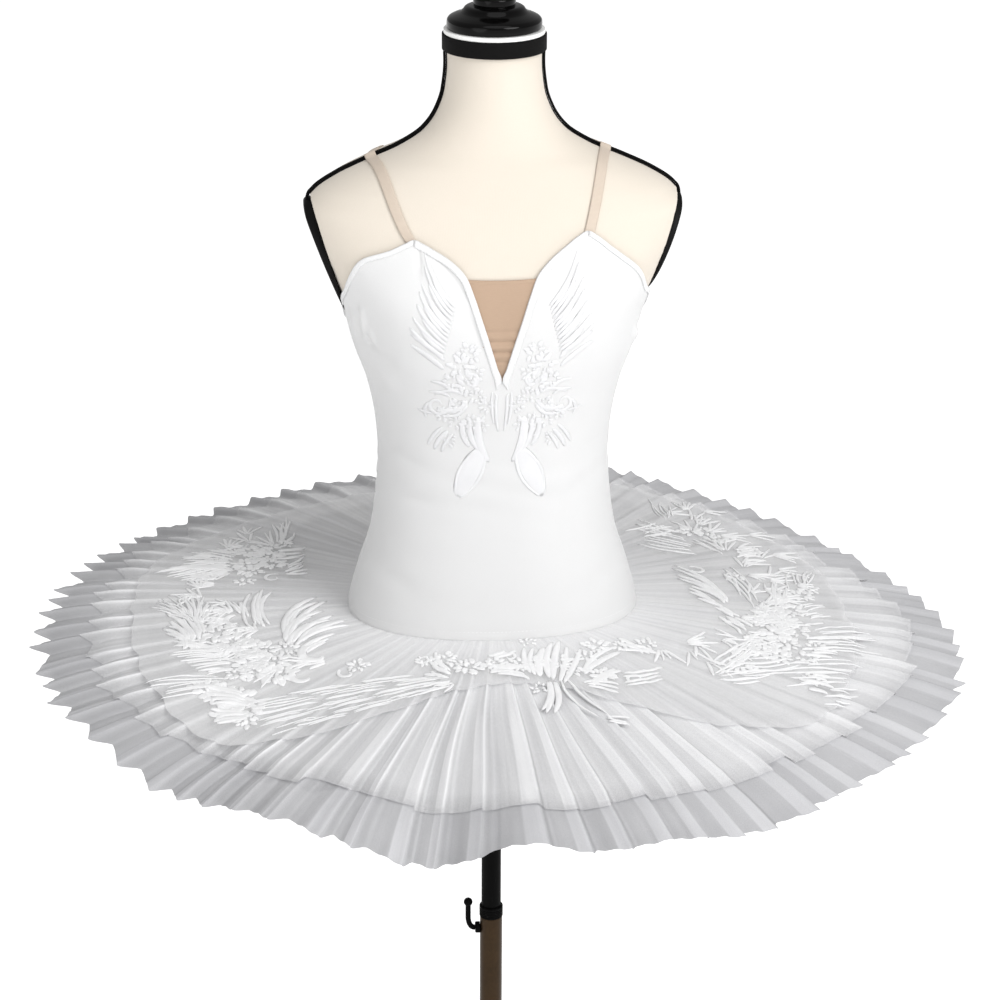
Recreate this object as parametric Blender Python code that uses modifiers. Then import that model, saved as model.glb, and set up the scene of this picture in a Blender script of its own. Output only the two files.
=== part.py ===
"""A classical ballet tutu on a limbless dress form with a telescopic stand.

Metres, +Z up. The origin is on the floor, on the axis of the pole. The front of the garment faces -Y.
An angle round the torso, alpha, is 0 at the front centre, 90 degrees at +X and 180 degrees at the back.
"""

import math

import bmesh
import bpy
import numpy as np
from mathutils import Matrix, Vector
from mathutils.bvhtree import BVHTree

# ---------------------------------------------------------------- driving dimensions, in metres
SEAM_GAP = 0.0003  # between pieces that touch
CLOTH = 0.0014  # a bodice or briefs wall
SKIN_GAP = 0.0005  # between the form and what lies straight on it
BODICE_INSIDE = 0.0019  # from the form to the inside of the bodice, over the modesty panel
BODICE_OUTSIDE = BODICE_INSIDE + CLOTH

FORM_BOTTOM = 0.800
HIP_SEAM = 0.9445  # lower edge of the bodice, where the skirt is sewn on
NECK_TOP = 1.5385

# The dress form's level sections, from the bottom to the neck.
TORSO = [
    dict(z=0.800, half_width=0.1240, front=0.0820, back=0.0900, squareness=2.2),
    dict(z=0.806, half_width=0.1350, front=0.0910, back=0.1000, squareness=2.2),
    dict(z=0.830, half_width=0.1460, front=0.1000, back=0.1120, squareness=2.2),
    dict(z=0.880, half_width=0.1480, front=0.1030, back=0.1170, squareness=2.2),
    dict(z=0.942, half_width=0.1463, front=0.1010, back=0.1130, squareness=2.2),
    dict(z=0.985, half_width=0.1363, front=0.0940, back=0.1020, squareness=2.2),
    dict(z=1.033, half_width=0.1215, front=0.0870, back=0.0880, squareness=2.2),
    dict(z=1.080, half_width=0.1155, front=0.0830, back=0.0780, squareness=2.2),
    dict(z=1.115, half_width=0.1138, front=0.0825, back=0.0750, squareness=2.2),
    dict(z=1.150, half_width=0.1162, front=0.0850, back=0.0780, squareness=2.2),
    dict(z=1.190, half_width=0.1240, front=0.0920, back=0.0860, squareness=2.2),
    dict(z=1.230, half_width=0.1378, front=0.0990, back=0.0950, squareness=2.2),
    dict(z=1.270, half_width=0.1482, front=0.1010, back=0.1010, squareness=2.2),
    dict(z=1.310, half_width=0.1660, front=0.0980, back=0.1030, squareness=2.2),
    dict(z=1.345, half_width=0.1830, front=0.0900, back=0.1000, squareness=2.2),
    dict(z=1.370, half_width=0.1880, front=0.0820, back=0.0950, squareness=2.2),
    dict(z=1.388, half_width=0.1758, front=0.0750, back=0.0900, squareness=2.2),
    dict(z=1.402, half_width=0.1552, front=0.0690, back=0.0850, squareness=2.2),
    dict(z=1.416, half_width=0.1258, front=0.0630, back=0.0780, squareness=2.2),
    dict(z=1.430, half_width=0.0932, front=0.0570, back=0.0700, squareness=2.1),
    dict(z=1.446, half_width=0.0690, front=0.0525, back=0.0630, squareness=2.1),
    dict(z=1.464, half_width=0.0560, front=0.0490, back=0.0570, squareness=2.0),
    dict(z=1.485, half_width=0.0487, front=0.0470, back=0.0520, squareness=2.0),
    dict(z=1.512, half_width=0.0460, front=0.0468, back=0.0475, squareness=2.0),
    dict(z=1.5385, half_width=0.0470, front=0.0470, back=0.0470, squareness=2.0),
]
FORM_COLUMNS = 32

# General bust fullness of the form, added to the front depth.
BUST_DEPTH = 0.012
BUST_ANGLE = math.radians(38)
BUST_SPREAD = math.radians(26)
BUST_HEIGHT = 1.280
BUST_REACH = 0.050

# Flat armhole faces of the form: each leans in towards its lower end.
ARMHOLE_TOP = (0.1795, 1.378)  # x, z
ARMHOLE_FOOT = (0.1480, 1.272)
ARM_PLATE_THICK = 0.0065
ARM_PLATE_LONG = 0.098
ARM_PLATE_WIDE = 0.082
ARM_PLATE_RISE = 0.0070  # above the middle of the armhole

PIPING_RADIUS = 0.0021

# Upper edge of the bodice: the front by distance from the middle, the back by angle.
TOP_EDGE_FRONT = [
    dict(x=0.0000, z=1.2160),
    dict(x=0.0095, z=1.2490),
    dict(x=0.0190, z=1.2800),
    dict(x=0.0270, z=1.3050),
    dict(x=0.0340, z=1.3230),
    dict(x=0.0470, z=1.3380),
    dict(x=0.0620, z=1.3495),
    dict(x=0.0760, z=1.3590),
    dict(x=0.0840, z=1.3625),
    dict(x=0.0925, z=1.3580),
    dict(x=0.1080, z=1.3450),
    dict(x=0.1240, z=1.3290),
    dict(x=0.1380, z=1.3100),
    dict(x=0.1470, z=1.2900),
]
PEAK = 8  # the row of the strap
TOP_EDGE_BACK = [
    dict(angle=90, z=1.2760),
    dict(angle=106, z=1.2560),
    dict(angle=126, z=1.2520),
    dict(angle=144, z=1.2600),
    dict(angle=152, z=1.2600),
    dict(angle=180, z=1.2440),
]
BODICE_ROWS = 9
NECK_BINDING_WIDE = 0.0085
EDGE_BINDING_WIDE = 0.0042
BINDING_THICK = 0.0010

MODESTY_TOP = 1.3215
MODESTY_DIP = 0.0020
MODESTY_TUCK = 0.0080  # hidden under the bodice on each side
MODESTY_THICK = 0.0010

STRAP_WIDE = 0.0135
STRAP_THICK = 0.0012
STRAP_FRONT_X = 0.0850
STRAP_CREST_X = 0.1145
STRAP_BACK_X = 0.0720
STRAP_HUB_Z = 1.330  # the strap's path is found by rays from this height
STRAP_FRONT_TURN = 23.0  # degrees up from straight ahead
STRAP_BACK_TURN = 214.3

# Skirt.
PLEATS = 72
RIM_RADIUS = 0.4810
SHEET = 0.0021  # a pleated wall, measured straight down, so that its steep folds stay over 1 mm
LAYER_GAP = 0.0006
PLEAT_STEEP = 0.30  # share of a pleat's width that its steep return takes
# Share of the way from hip to rim: fall below the hip, how much more the longest tulle hangs,
# and the height of the pleats there.
SKIRT_PROFILE = [
    dict(share=0.00, fall=0.0000, sag=0.0000, pleat=0.0016),
    dict(share=0.45, fall=0.0125, sag=0.0010, pleat=0.0070),
    dict(share=1.15, fall=0.0382, sag=0.0105, pleat=0.0150),
]
PLEAT_UNEVEN = 0.26  # how far a ridge strays from its even place, as a share of a pleat
# Slow waves of the rim's height and radius: count round the skirt, size, place of the crest in degrees.
RIM_HEIGHT_WAVES = [
    dict(count=1, size=0.0100, crest=128), dict(count=2, size=0.0035, crest=48),
    dict(count=3, size=0.0068, crest=60), dict(count=4, size=0.0082, crest=-5),
]
RIM_RADIUS_WAVES = [
    dict(count=2, size=0.0098, crest=128), dict(count=3, size=0.0073, crest=14),
    dict(count=4, size=0.0053, crest=7), dict(count=5, size=0.0081, crest=55),
]
# Places where the rim swells up or hangs down: degrees round the skirt, half width, rise.
RIM_SAGS = [
    dict(place=-152, wide=9, rise=0.0125), dict(place=-140, wide=9, rise=-0.0060),
    dict(place=-120, wide=9, rise=0.0110), dict(place=-101, wide=7, rise=-0.0145),
    dict(place=-92, wide=7, rise=0.0210), dict(place=-75, wide=8, rise=0.0105),
    dict(place=-63, wide=8, rise=-0.0065), dict(place=72, wide=8, rise=0.0090),
]
TIP_REACH = 0.0220  # how far a pleat's ridge stands past its valley at the hem
UPPER_HEM = 0.0570  # how much shorter the upper tulle is
SUPPORT_WAVES = 36
SUPPORT_RADIUS = 0.380
SUPPORT_WAVE_HEIGHT = 0.0100

# The sheer overlay's edge by angle from the front centre.
OVERLAY_EDGE = [
    dict(angle=0, radius=0.192),
    dict(angle=14, radius=0.208),
    dict(angle=27, radius=0.262),
    dict(angle=39, radius=0.340),
    dict(angle=52, radius=0.388),
    dict(angle=70, radius=0.380),
    dict(angle=90, radius=0.372),
    dict(angle=115, radius=0.386),
    dict(angle=140, radius=0.392),
    dict(angle=180, radius=0.372),
]
OVERLAY_THICK = 0.0012

# Feathered appliques.
FEATHER_RISE = 0.0026  # at a feather's quill
FEATHER_BED = 0.0010  # between feathers
# The skirt wing by angle from the front centre: its inner edge, its spine, its feather tips.
WING = [
    dict(angle=22, inner=0.146, spine=0.166, tips=0.192),
    dict(angle=36, inner=0.160, spine=0.194, tips=0.262),
    dict(angle=50, inner=0.174, spine=0.226, tips=0.366),
    dict(angle=66, inner=0.186, spine=0.252, tips=0.362),
    dict(angle=84, inner=0.196, spine=0.272, tips=0.352),
    dict(angle=104, inner=0.226, spine=0.300, tips=0.366),
    dict(angle=126, inner=0.268, spine=0.328, tips=0.376),
    dict(angle=150, inner=0.318, spine=0.348, tips=0.374),
]
WING_FEATHERS = 17
WING_SWEEP = 7.0  # degrees that a tip lies ahead of its root
WING_NOTCH = 0.030  # depth of the notch between two tips
CREST_FEATHERS = 8  # the front centre motif
CREST_ANGLE = 18.5

# The bodice wing: feathers fan out from a root. Direction in degrees above the outward level, and length.
BODICE_FAN_ROOT = (0.0170, 1.1760)  # x, z
BODICE_FAN = [
    dict(direction=82, length=0.105),
    dict(direction=68, length=0.152),
    dict(direction=56, length=0.142),
    dict(direction=44, length=0.118),
    dict(direction=30, length=0.092),
    dict(direction=12, length=0.070),
    dict(direction=-10, length=0.058),
    dict(direction=-34, length=0.062),
    dict(direction=-58, length=0.082),
    dict(direction=-82, length=0.072),
]
BODICE_FAN_HEART = 0.020

# Briefs under the skirt.
BRIEFS_TOP = 0.9436
BRIEFS_LEG_HIGH = 0.886
BRIEFS_LEG_LOW = 0.838
GUSSET_HALF = 0.029
GUSSET_SHIFT = 0.054  # the gusset passes beside the pole
GUSSET_THICK = 0.0012

# Stand.
POLE_RADIUS = 0.0105
POLE_BORE = 0.0109
TUBE_RADIUS = 0.0121
TUBE_TOP = 0.5707
COLLAR_RADIUS = 0.0127
COLLAR_TALL = 0.0135
BASE_RADIUS = 0.170
BASE_EDGE = 0.008
HUB_TOP = 0.045
POLE_FOOT = 0.240
LEVER_HEIGHT = 0.5565
LEVER_ROD = 0.0029
LEVER_BALL = 0.0048
SOCKET_RADIUS = 0.0131
SOCKET_FLANGE = 0.0200
SOCKET_FOOT = 0.752

SEED = 11
SIDES = {"left": -1.0, "right": 1.0}  # as the front is looked at

COLOURS = {
    "jersey": (0.93, 0.89, 0.80, 1.0),
    "satin": (0.92, 0.92, 0.92, 1.0),
    "tulle": (0.90, 0.90, 0.91, 1.0),
    "lace": (0.96, 0.96, 0.95, 1.0),
    "nude": (0.66, 0.50, 0.40, 1.0),
    "strap": (0.80, 0.72, 0.64, 1.0),
    "black": (0.012, 0.012, 0.013, 1.0),
    "white_ring": (0.95, 0.95, 0.95, 1.0),
    "bronze": (0.06, 0.04, 0.025, 1.0),
}


# ---------------------------------------------------------------- curves through short tables
def smooth(table, along, column):
    """A function through the table's rows that bends smoothly and never overshoots a row."""
    x = np.array([row[along] for row in table], float)
    y = np.array([row[column] for row in table], float)
    step = np.diff(x)
    rate = np.diff(y) / step
    slope = np.zeros(len(x))
    slope[0], slope[-1] = rate[0], rate[-1]
    for i in range(1, len(x) - 1):
        if rate[i - 1] * rate[i] > 0:
            w1, w2 = 2 * step[i] + step[i - 1], step[i] + 2 * step[i - 1]
            slope[i] = (w1 + w2) / (w1 / rate[i - 1] + w2 / rate[i])

    def value(at):
        at = np.clip(at, x[0], x[-1])
        i = np.clip(np.searchsorted(x, at) - 1, 0, len(step) - 1)
        t = (at - x[i]) / step[i]
        return (
            y[i] * (1 + 2 * t) * (1 - t) ** 2
            + slope[i] * step[i] * t * (1 - t) ** 2
            + y[i + 1] * t * t * (3 - 2 * t)
            + slope[i + 1] * step[i] * t * t * (t - 1)
        )

    return value


half_width_at = smooth(TORSO, "z", "half_width")
front_at = smooth(TORSO, "z", "front")
back_at = smooth(TORSO, "z", "back")
squareness_at = smooth(TORSO, "z", "squareness")
overlay_edge_at = smooth(OVERLAY_EDGE, "angle", "radius")


def bust(alpha, z):
    """Extra front depth at an angle and a height."""
    swell = np.exp(-(((abs(alpha) - BUST_ANGLE) / BUST_SPREAD) ** 2))
    return BUST_DEPTH * swell * np.exp(-(((z - BUST_HEIGHT) / BUST_REACH) ** 2))


def torso(alpha, z, out=0.0):
    """The point of the form's surface at angle alpha and height z, moved out."""
    power = 2 / squareness_at(z)
    s, c = math.sin(alpha), math.cos(alpha)
    depth = front_at(z) + bust(alpha, z) if c > 0 else back_at(z)
    x = (half_width_at(z) + out) * math.copysign(abs(s) ** power, s)
    y = -(depth + out) * math.copysign(abs(c) ** power, c)
    return (float(x), float(y), float(z))


def angle_of(x, z, out=0.0):
    """The angle at which the front surface, moved out, passes a distance x from the middle."""
    share = min(1.0, abs(x) / float(half_width_at(z) + out))
    return math.copysign(math.asin(share ** (float(squareness_at(z)) / 2)), x)


FRONT_EDGE = [(row["x"], row["z"]) for row in TOP_EDGE_FRONT]
FRONT_ANGLES = [math.degrees(angle_of(x, z, BODICE_OUTSIDE)) for x, z in FRONT_EDGE]
top_edge_at = smooth(
    [dict(angle=a, z=z) for a, (_, z) in zip(FRONT_ANGLES, FRONT_EDGE)] + TOP_EDGE_BACK,
    "angle",
    "z",
)


def inside(x, y, z, out=0.0):
    """True where a point lies inside the form's surface, moved out."""
    if z < FORM_BOTTOM - out:
        return False
    n = float(squareness_at(z))
    depth = float(front_at(z) if y < 0 else back_at(z)) + out
    wide = float(half_width_at(z)) + out
    if y < 0:
        depth += float(bust(math.atan2(abs(x) / wide, abs(y) / depth), z))
    return (abs(x) / wide) ** n + (abs(y) / depth) ** n < 1


def surface_from(hub, direction, out):
    """Where a ray from a point inside the form leaves its surface, moved out."""
    near, far = 0.0, 0.40
    for _ in range(40):
        middle = (near + far) / 2
        x, y, z = (h + d * middle for h, d in zip(hub, direction))
        if inside(x, y, z, out):
            near = middle
        else:
            far = middle
    return tuple(h + d * near for h, d in zip(hub, direction))


# ---------------------------------------------------------------- solids
def link(name, mesh, colour):
    """Puts a mesh in the tutu's collection as one object with its own material."""
    made = bpy.data.materials.get(colour)
    if made is None:
        made = bpy.data.materials.new(colour)
        made.use_nodes = True
        shader = made.node_tree.nodes["Principled BSDF"]
        shader.inputs["Base Color"].default_value = COLOURS[colour]
        shader.inputs["Roughness"].default_value = 0.35 if colour in ("black", "bronze") else 0.8
        shader.inputs["Metallic"].default_value = 0.6 if colour == "bronze" else 0.0
    obj = bpy.data.objects.new(name, mesh)
    obj.data.materials.append(made)
    tutu.objects.link(obj)
    return obj


def mesh_from(name, points, faces):
    """A closed mesh with its faces turned outwards."""
    mesh = bpy.data.meshes.new(name)
    mesh.from_pydata([tuple(map(float, p)) for p in points], [], faces)
    form = bmesh.new()
    form.from_mesh(mesh)
    bmesh.ops.remove_doubles(form, verts=form.verts, dist=1e-6)
    bmesh.ops.recalc_face_normals(form, faces=form.faces)
    form.to_mesh(mesh)
    form.free()
    mesh.shade_smooth()
    mesh.set_sharp_from_angle(angle=math.radians(40))
    return mesh


def wall(name, outer, inner, colour, ring=False):
    """A closed wall between two grids of points, row by row. A ring joins its last column to its first."""
    rows, columns = len(outer), len(outer[0])
    points = [p for row in outer for p in row] + [p for row in inner for p in row]
    lower = rows * columns

    def at(layer, i, j):
        return layer * lower + i * columns + j % columns

    faces = []
    last = columns if ring else columns - 1
    for i in range(rows - 1):
        for j in range(last):
            for layer in (0, 1):
                a, b = at(layer, i, j), at(layer, i, j + 1)
                c, d = at(layer, i + 1, j + 1), at(layer, i + 1, j)
                faces += [(a, b, c), (a, c, d)]
    for i in (0, rows - 1):
        for j in range(last):
            a, b = at(0, i, j), at(0, i, j + 1)
            c, d = at(1, i, j + 1), at(1, i, j)
            faces += [(a, b, c), (a, c, d)]
    if not ring:
        for j in (0, columns - 1):
            for i in range(rows - 1):
                a, b = at(0, i, j), at(0, i + 1, j)
                c, d = at(1, i + 1, j), at(1, i, j)
                faces += [(a, b, c), (a, c, d)]
    return link(name, mesh_from(name, points, faces), colour)


def surface_of(*names):
    """A search tree over the finished surfaces of the named pieces."""
    graph = bpy.context.evaluated_depsgraph_get()
    points, faces = [], []
    for name in names:
        obj = tutu.objects[name]
        mesh = obj.evaluated_get(graph).to_mesh()
        first = len(points)
        points += [obj.matrix_world @ v.co for v in mesh.vertices]
        faces += [[first + i for i in face.vertices] for face in mesh.polygons]
    return BVHTree.FromPolygons(points, faces)


def level_out(place):
    """Straight out from the Z axis."""
    return Vector((place[0], place[1], 0)).normalized()


def up(place):
    return Vector((0, 0, 1))


def seated(grid, below, outward, gap, ring=False):
    """The grid with its points moved outward until its faces clear what lies below by a gap."""
    grid = [[Vector(p) for p in row] for row in grid]
    rows, columns = len(grid), len(grid[0])
    fine = 8
    weights = [
        (i / fine, j / fine, 1 - (i + j) / fine) for i in range(fine + 1) for j in range(fine + 1 - i)
    ]
    last = columns if ring else columns - 1
    for _ in range(8):
        need = np.zeros((rows, columns))
        for i in range(rows - 1):
            for j in range(last):
                after = (j + 1) % columns
                a, b, c, d = (i, j), (i, after), (i + 1, after), (i + 1, j)
                for corners in ((a, b, c), (a, c, d)):
                    places = [grid[r][k] for r, k in corners]
                    for w in weights:
                        place = places[0] * w[0] + places[1] * w[1] + places[2] * w[2]
                        way = outward(place)
                        hit = below.ray_cast(place + way * 0.05, -way, 0.07)[0]
                        if hit is None:
                            continue
                        short = (hit - place).dot(way) + gap
                        if short > 1e-6:
                            for (r, k), share in zip(corners, w):
                                if share > 0.2:
                                    need[r, k] = max(need[r, k], short)
        if need.max() < 2e-5:
            break
        for r in range(rows):
            for k in range(columns):
                if need[r, k]:
                    grid[r][k] = grid[r][k] + outward(grid[r][k]) * need[r, k]
    return grid


def seated_wall(name, grid, below, outward, gap, thick, colour, ring=False):
    """A wall of one thickness, or of a grid of thicknesses, seated on what lies below."""
    inner = seated(grid, below, outward, gap, ring)
    outer = []
    for i, row in enumerate(inner):
        line = []
        for j, place in enumerate(row):
            rise = thick if isinstance(thick, float) else thick[i][j]
            line.append(place + outward(place) * rise)
        outer.append(line)
    return wall(name, outer, inner, colour, ring)


def turned(name, profile, colour, steps=28):
    """A solid turned about Z from (radius, height) points, listed down its outer side."""
    mesh = bpy.data.meshes.new(name)
    points = [(r, 0.0, z) for r, z in profile]
    closed = profile[0][0] > 0 and profile[-1][0] > 0
    edges = [(i, i + 1) for i in range(len(points) - 1)]
    if closed:
        edges.append((len(points) - 1, 0))
    mesh.from_pydata(points, edges, [])
    obj = link(name, mesh, colour)
    screw = obj.modifiers.new("turn", "SCREW")
    screw.steps = screw.render_steps = steps
    screw.use_merge_vertices = True
    screw.merge_threshold = 0.0001
    return obj


def tube(name, route, radius, colour, sides=2):
    """A round rod along a list of points."""
    curve = bpy.data.curves.new(name, "CURVE")
    curve.dimensions = "3D"
    curve.bevel_depth = radius
    curve.bevel_resolution = sides
    curve.use_fill_caps = True
    spline = curve.splines.new("POLY")
    spline.points.add(len(route) - 1)
    for point, place in zip(spline.points, route):
        point.co = (*place, 1.0)
    return link(name, curve, colour)


def solid_of(obj):
    """The object's evaluated shape as a plain mesh object of the same name."""
    graph = bpy.context.evaluated_depsgraph_get()
    mesh = bpy.data.meshes.new_from_object(obj.evaluated_get(graph))
    mesh.transform(obj.matrix_world)
    form = bmesh.new()
    form.from_mesh(mesh)
    bmesh.ops.remove_doubles(form, verts=form.verts, dist=1e-6)
    bmesh.ops.recalc_face_normals(form, faces=form.faces)
    form.to_mesh(mesh)
    form.free()
    name = obj.name
    bpy.data.objects.remove(obj)
    made = bpy.data.objects.new(name, mesh)
    tutu.objects.link(made)
    return made


# ---------------------------------------------------------------- the dress form
def form_body():
    """A smooth loft through the torso's sections, cut flat at the armholes."""
    points, faces = [], []
    angles = [2 * math.pi * (j + 0.5) / FORM_COLUMNS for j in range(FORM_COLUMNS)]
    heights = [row["z"] for row in TORSO]
    for z in heights:
        points += [torso((a + math.pi) % (2 * math.pi) - math.pi, z) for a in angles]
    for i in range(len(heights) - 1):
        for j in range(FORM_COLUMNS):
            a, b = i * FORM_COLUMNS + j, i * FORM_COLUMNS + (j + 1) % FORM_COLUMNS
            c, d = b + FORM_COLUMNS, a + FORM_COLUMNS
            faces += [(a, b, c), (a, c, d)]
    faces.append(tuple(range(FORM_COLUMNS)))
    faces.append(tuple((len(heights) - 1) * FORM_COLUMNS + j for j in range(FORM_COLUMNS)))
    body = link("form_body", mesh_from("form_body", points, faces), "jersey")
    for side, sign in SIDES.items():
        bpy.ops.mesh.primitive_cube_add(size=1)
        cutter = bpy.context.object
        cutter.name = f"armhole_cutter_{side}"
        deep, tall, wide = 0.10, 0.30, 0.40
        cutter.matrix_world = armhole_frame(sign) @ Matrix.Translation(
            Vector((deep / 2, 0, 0))
        ) @ Matrix.Diagonal((deep, wide, tall, 1))
        for home in list(cutter.users_collection):
            home.objects.unlink(cutter)
        cutters.objects.link(cutter)
        cutter.hide_render = True
        cutter.display_type = "WIRE"
        cut = body.modifiers.new(f"armhole {side}", "BOOLEAN")
        cut.operation = "DIFFERENCE"
        cut.object = cutter


def armhole_frame(sign):
    """A frame whose X points out of the armhole, with its origin at the middle of the armhole's face."""
    (top_x, top_z), (foot_x, foot_z) = ARMHOLE_TOP, ARMHOLE_FOOT
    up = Vector((sign * (top_x - foot_x), 0, top_z - foot_z)).normalized()
    along_y = Vector((0, sign, 0))
    out = along_y.cross(up)
    middle = Vector((sign * (top_x + foot_x) / 2, 0.004, (top_z + foot_z) / 2))
    return Matrix(
        (
            (out.x, along_y.x, up.x, middle.x),
            (out.y, along_y.y, up.y, middle.y),
            (out.z, along_y.z, up.z, middle.z),
            (0, 0, 0, 1),
        )
    )


def arm_plates():
    """Oval covers on the armhole faces, with eased rims."""
    count = 26
    ease = 0.0018
    levels = [(0.0, ease), (ease, 0.0), (ARM_PLATE_THICK - ease, 0.0), (ARM_PLATE_THICK, ease)]
    for side, sign in SIDES.items():
        place = armhole_frame(sign)
        points, faces = [], []
        for depth, inset in levels:
            for k in range(count):
                turn = 2 * math.pi * k / count
                across = (ARM_PLATE_WIDE / 2 - inset) * math.cos(turn)
                along = (ARM_PLATE_LONG / 2 - inset) * math.sin(turn)
                points.append(place @ Vector((SEAM_GAP + depth, across, ARM_PLATE_RISE + along)))
        for i in range(len(levels) - 1):
            for k in range(count):
                a, b = i * count + k, i * count + (k + 1) % count
                faces.append((a, b, b + count, a + count))
        faces.append(tuple(range(count)))
        faces.append(tuple((len(levels) - 1) * count + k for k in range(count)))
        link(f"arm_plate_{side}", mesh_from(f"arm_plate_{side}", points, faces), "black")


def shoulder_piping():
    """Round piping over each shoulder seam, from the neck band down to the arm plate."""
    below = surface_of("form_body")
    heights = [row["z"] for row in TORSO if 1.387 < row["z"] < 1.515]
    heights = [1.3835, *heights, 1.5215]
    reach = PIPING_RADIUS + SKIN_GAP
    for side, sign in SIDES.items():
        crest = [
            below.ray_cast(Vector((sign * 0.3, 0, z)), Vector((-sign, 0, 0)))[0] for z in heights
        ]
        route = []
        for k, place in enumerate(crest):
            after, before = crest[min(k + 1, len(crest) - 1)], crest[max(k - 1, 0)]
            outs = []
            for start, end in ((before, place), (place, after)):
                if (end - start).length > 0:
                    along = (end - start).normalized()
                    outs.append(Vector((sign * along.z, 0, -sign * along.x)))
            out = sum(outs, Vector()).normalized()
            route.append(place + out * (reach / out.dot(outs[0])))
        tube(f"shoulder_piping_{side}", route, PIPING_RADIUS, "black")


def neck_fittings():
    """The neck's band, its white ring and the turned cap with its knob."""
    band_foot, band_top = 1.5235, 1.5392
    inner, outer = 0.0482, 0.0509
    turned(
        "neck_band",
        [(inner, band_top), (outer - 0.001, band_top), (outer, band_top - 0.001),
         (outer, band_foot + 0.001), (outer - 0.001, band_foot), (inner, band_foot)],
        "black",
    )
    ring_foot, ring_top = band_top + SEAM_GAP, 1.5436
    ring = 0.0494
    turned(
        "neck_ring",
        [(0, ring_top), (ring - 0.001, ring_top), (ring, ring_top - 0.001),
         (ring, ring_foot + 0.001), (ring - 0.001, ring_foot), (0, ring_foot)],
        "white_ring",
    )
    foot = ring_top + SEAM_GAP
    turned(
        "neck_cap",
        [(0, foot + 0.066), (0.0110, foot + 0.0645), (0.0195, foot + 0.0585),
         (0.0222, foot + 0.0505), (0.0195, foot + 0.0415), (0.0135, foot + 0.0350),
         (0.0150, foot + 0.0312), (0.0205, foot + 0.0290), (0.0205, foot + 0.0225),
         (0.0285, foot + 0.0215), (0.0310, foot + 0.0170), (0.0440, foot + 0.0115),
         (0.0464, foot + 0.0095), (0.0464, foot + 0.0015), (0.0450, foot), (0, foot)],
        "black",
        steps=26,
    )


# ---------------------------------------------------------------- the bodice
def edge_height(degrees):
    """Height of the bodice's upper edge at an angle from the front centre."""
    return float(top_edge_at(abs(degrees)))


def panel(name, angles, bottom, top, rows, out, below, thick, colour):
    """A wall on the torso between two edges, each a function of the angle in degrees."""
    grid = []
    for i in range(rows):
        share = i / (rows - 1)
        line = []
        for degrees in angles:
            low, high = bottom(degrees), top(degrees)
            line.append(torso(math.radians(degrees), low + (high - low) * share, out))
        grid.append(line)
    return seated_wall(name, grid, below, level_out, SEAM_GAP + 0.0002, thick, colour)


def bodice():
    """Front and back panels that meet at the side seams."""
    seam = 0.075  # degrees left open at each side seam
    below = surface_of("form_body", "modesty_panel")
    steps = FRONT_ANGLES + [90 - seam]
    front = [-a for a in reversed(steps[1:])] + steps
    panel("bodice_front", front, lambda a: HIP_SEAM, edge_height, BODICE_ROWS,
          SKIN_GAP, below, CLOTH, "satin")
    back = [90 + seam, 99, 109, 119, 131, 144, 156, 168, 180]
    back += [360 - a for a in reversed(back[:-1])]
    panel("bodice_back", back, lambda a: HIP_SEAM, lambda a: edge_height(180 - abs(a - 180)),
          BODICE_ROWS - 1, SKIN_GAP, below, CLOTH, "satin")


def on_front(x, z, out):
    """The point of the front surface, moved out, at a distance x from the middle and a height z."""
    return torso(angle_of(x, z, out), z, out)


def neck_bindings():
    """A binding on each side of the V, laid on the bodice along its edge."""
    below = surface_of("bodice_front")
    edge = FRONT_EDGE[: PEAK + 1]
    for side, sign in SIDES.items():
        outline, inline = [], []
        for k, (x, z) in enumerate(edge):
            before, after = edge[max(k - 1, 0)], edge[min(k + 1, len(edge) - 1)]
            along = Vector((after[0] - before[0], after[1] - before[1])).normalized()
            # Down and out from the edge, onto the cloth.
            wide_x, wide_z = x + along.y * NECK_BINDING_WIDE, z - along.x * NECK_BINDING_WIDE
            if k == 0:
                x, wide_x, wide_z = SEAM_GAP, 0.0058, z - 0.0085
            if k == len(edge) - 1:
                x, wide_x, wide_z = x - 2 * SEAM_GAP, x - 2 * SEAM_GAP, z - NECK_BINDING_WIDE
            outline.append(on_front(sign * x, z - 0.0002, BODICE_OUTSIDE))
            inline.append(on_front(sign * wide_x, wide_z, BODICE_OUTSIDE))
        seated_wall(f"neck_binding_{side}", [outline, inline], below, level_out, 2 * SEAM_GAP,
                    BINDING_THICK, "satin")


def edge_bindings():
    """Narrow bindings on the armhole edges and on the back's upper edge."""
    below = surface_of("bodice_front", "bodice_back")
    peak = FRONT_ANGLES[PEAK]
    runs = {
        "armhole_binding_right": [peak + 0.3, *FRONT_ANGLES[PEAK + 1 :], 90, 99, 109, 119, 131, 148],
        "back_binding": [148.4, 156, 168, 180, 192, 204, 211.6],
    }
    runs["armhole_binding_left"] = [-a for a in runs["armhole_binding_right"]]

    def over(degrees):
        return edge_height(degrees if degrees <= 180 else 360 - degrees) - 0.0002

    for name, angles in runs.items():
        panel(name, angles, lambda a: over(a) - EDGE_BINDING_WIDE, over, 2, BODICE_OUTSIDE,
              below, BINDING_THICK, "satin")


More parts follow.
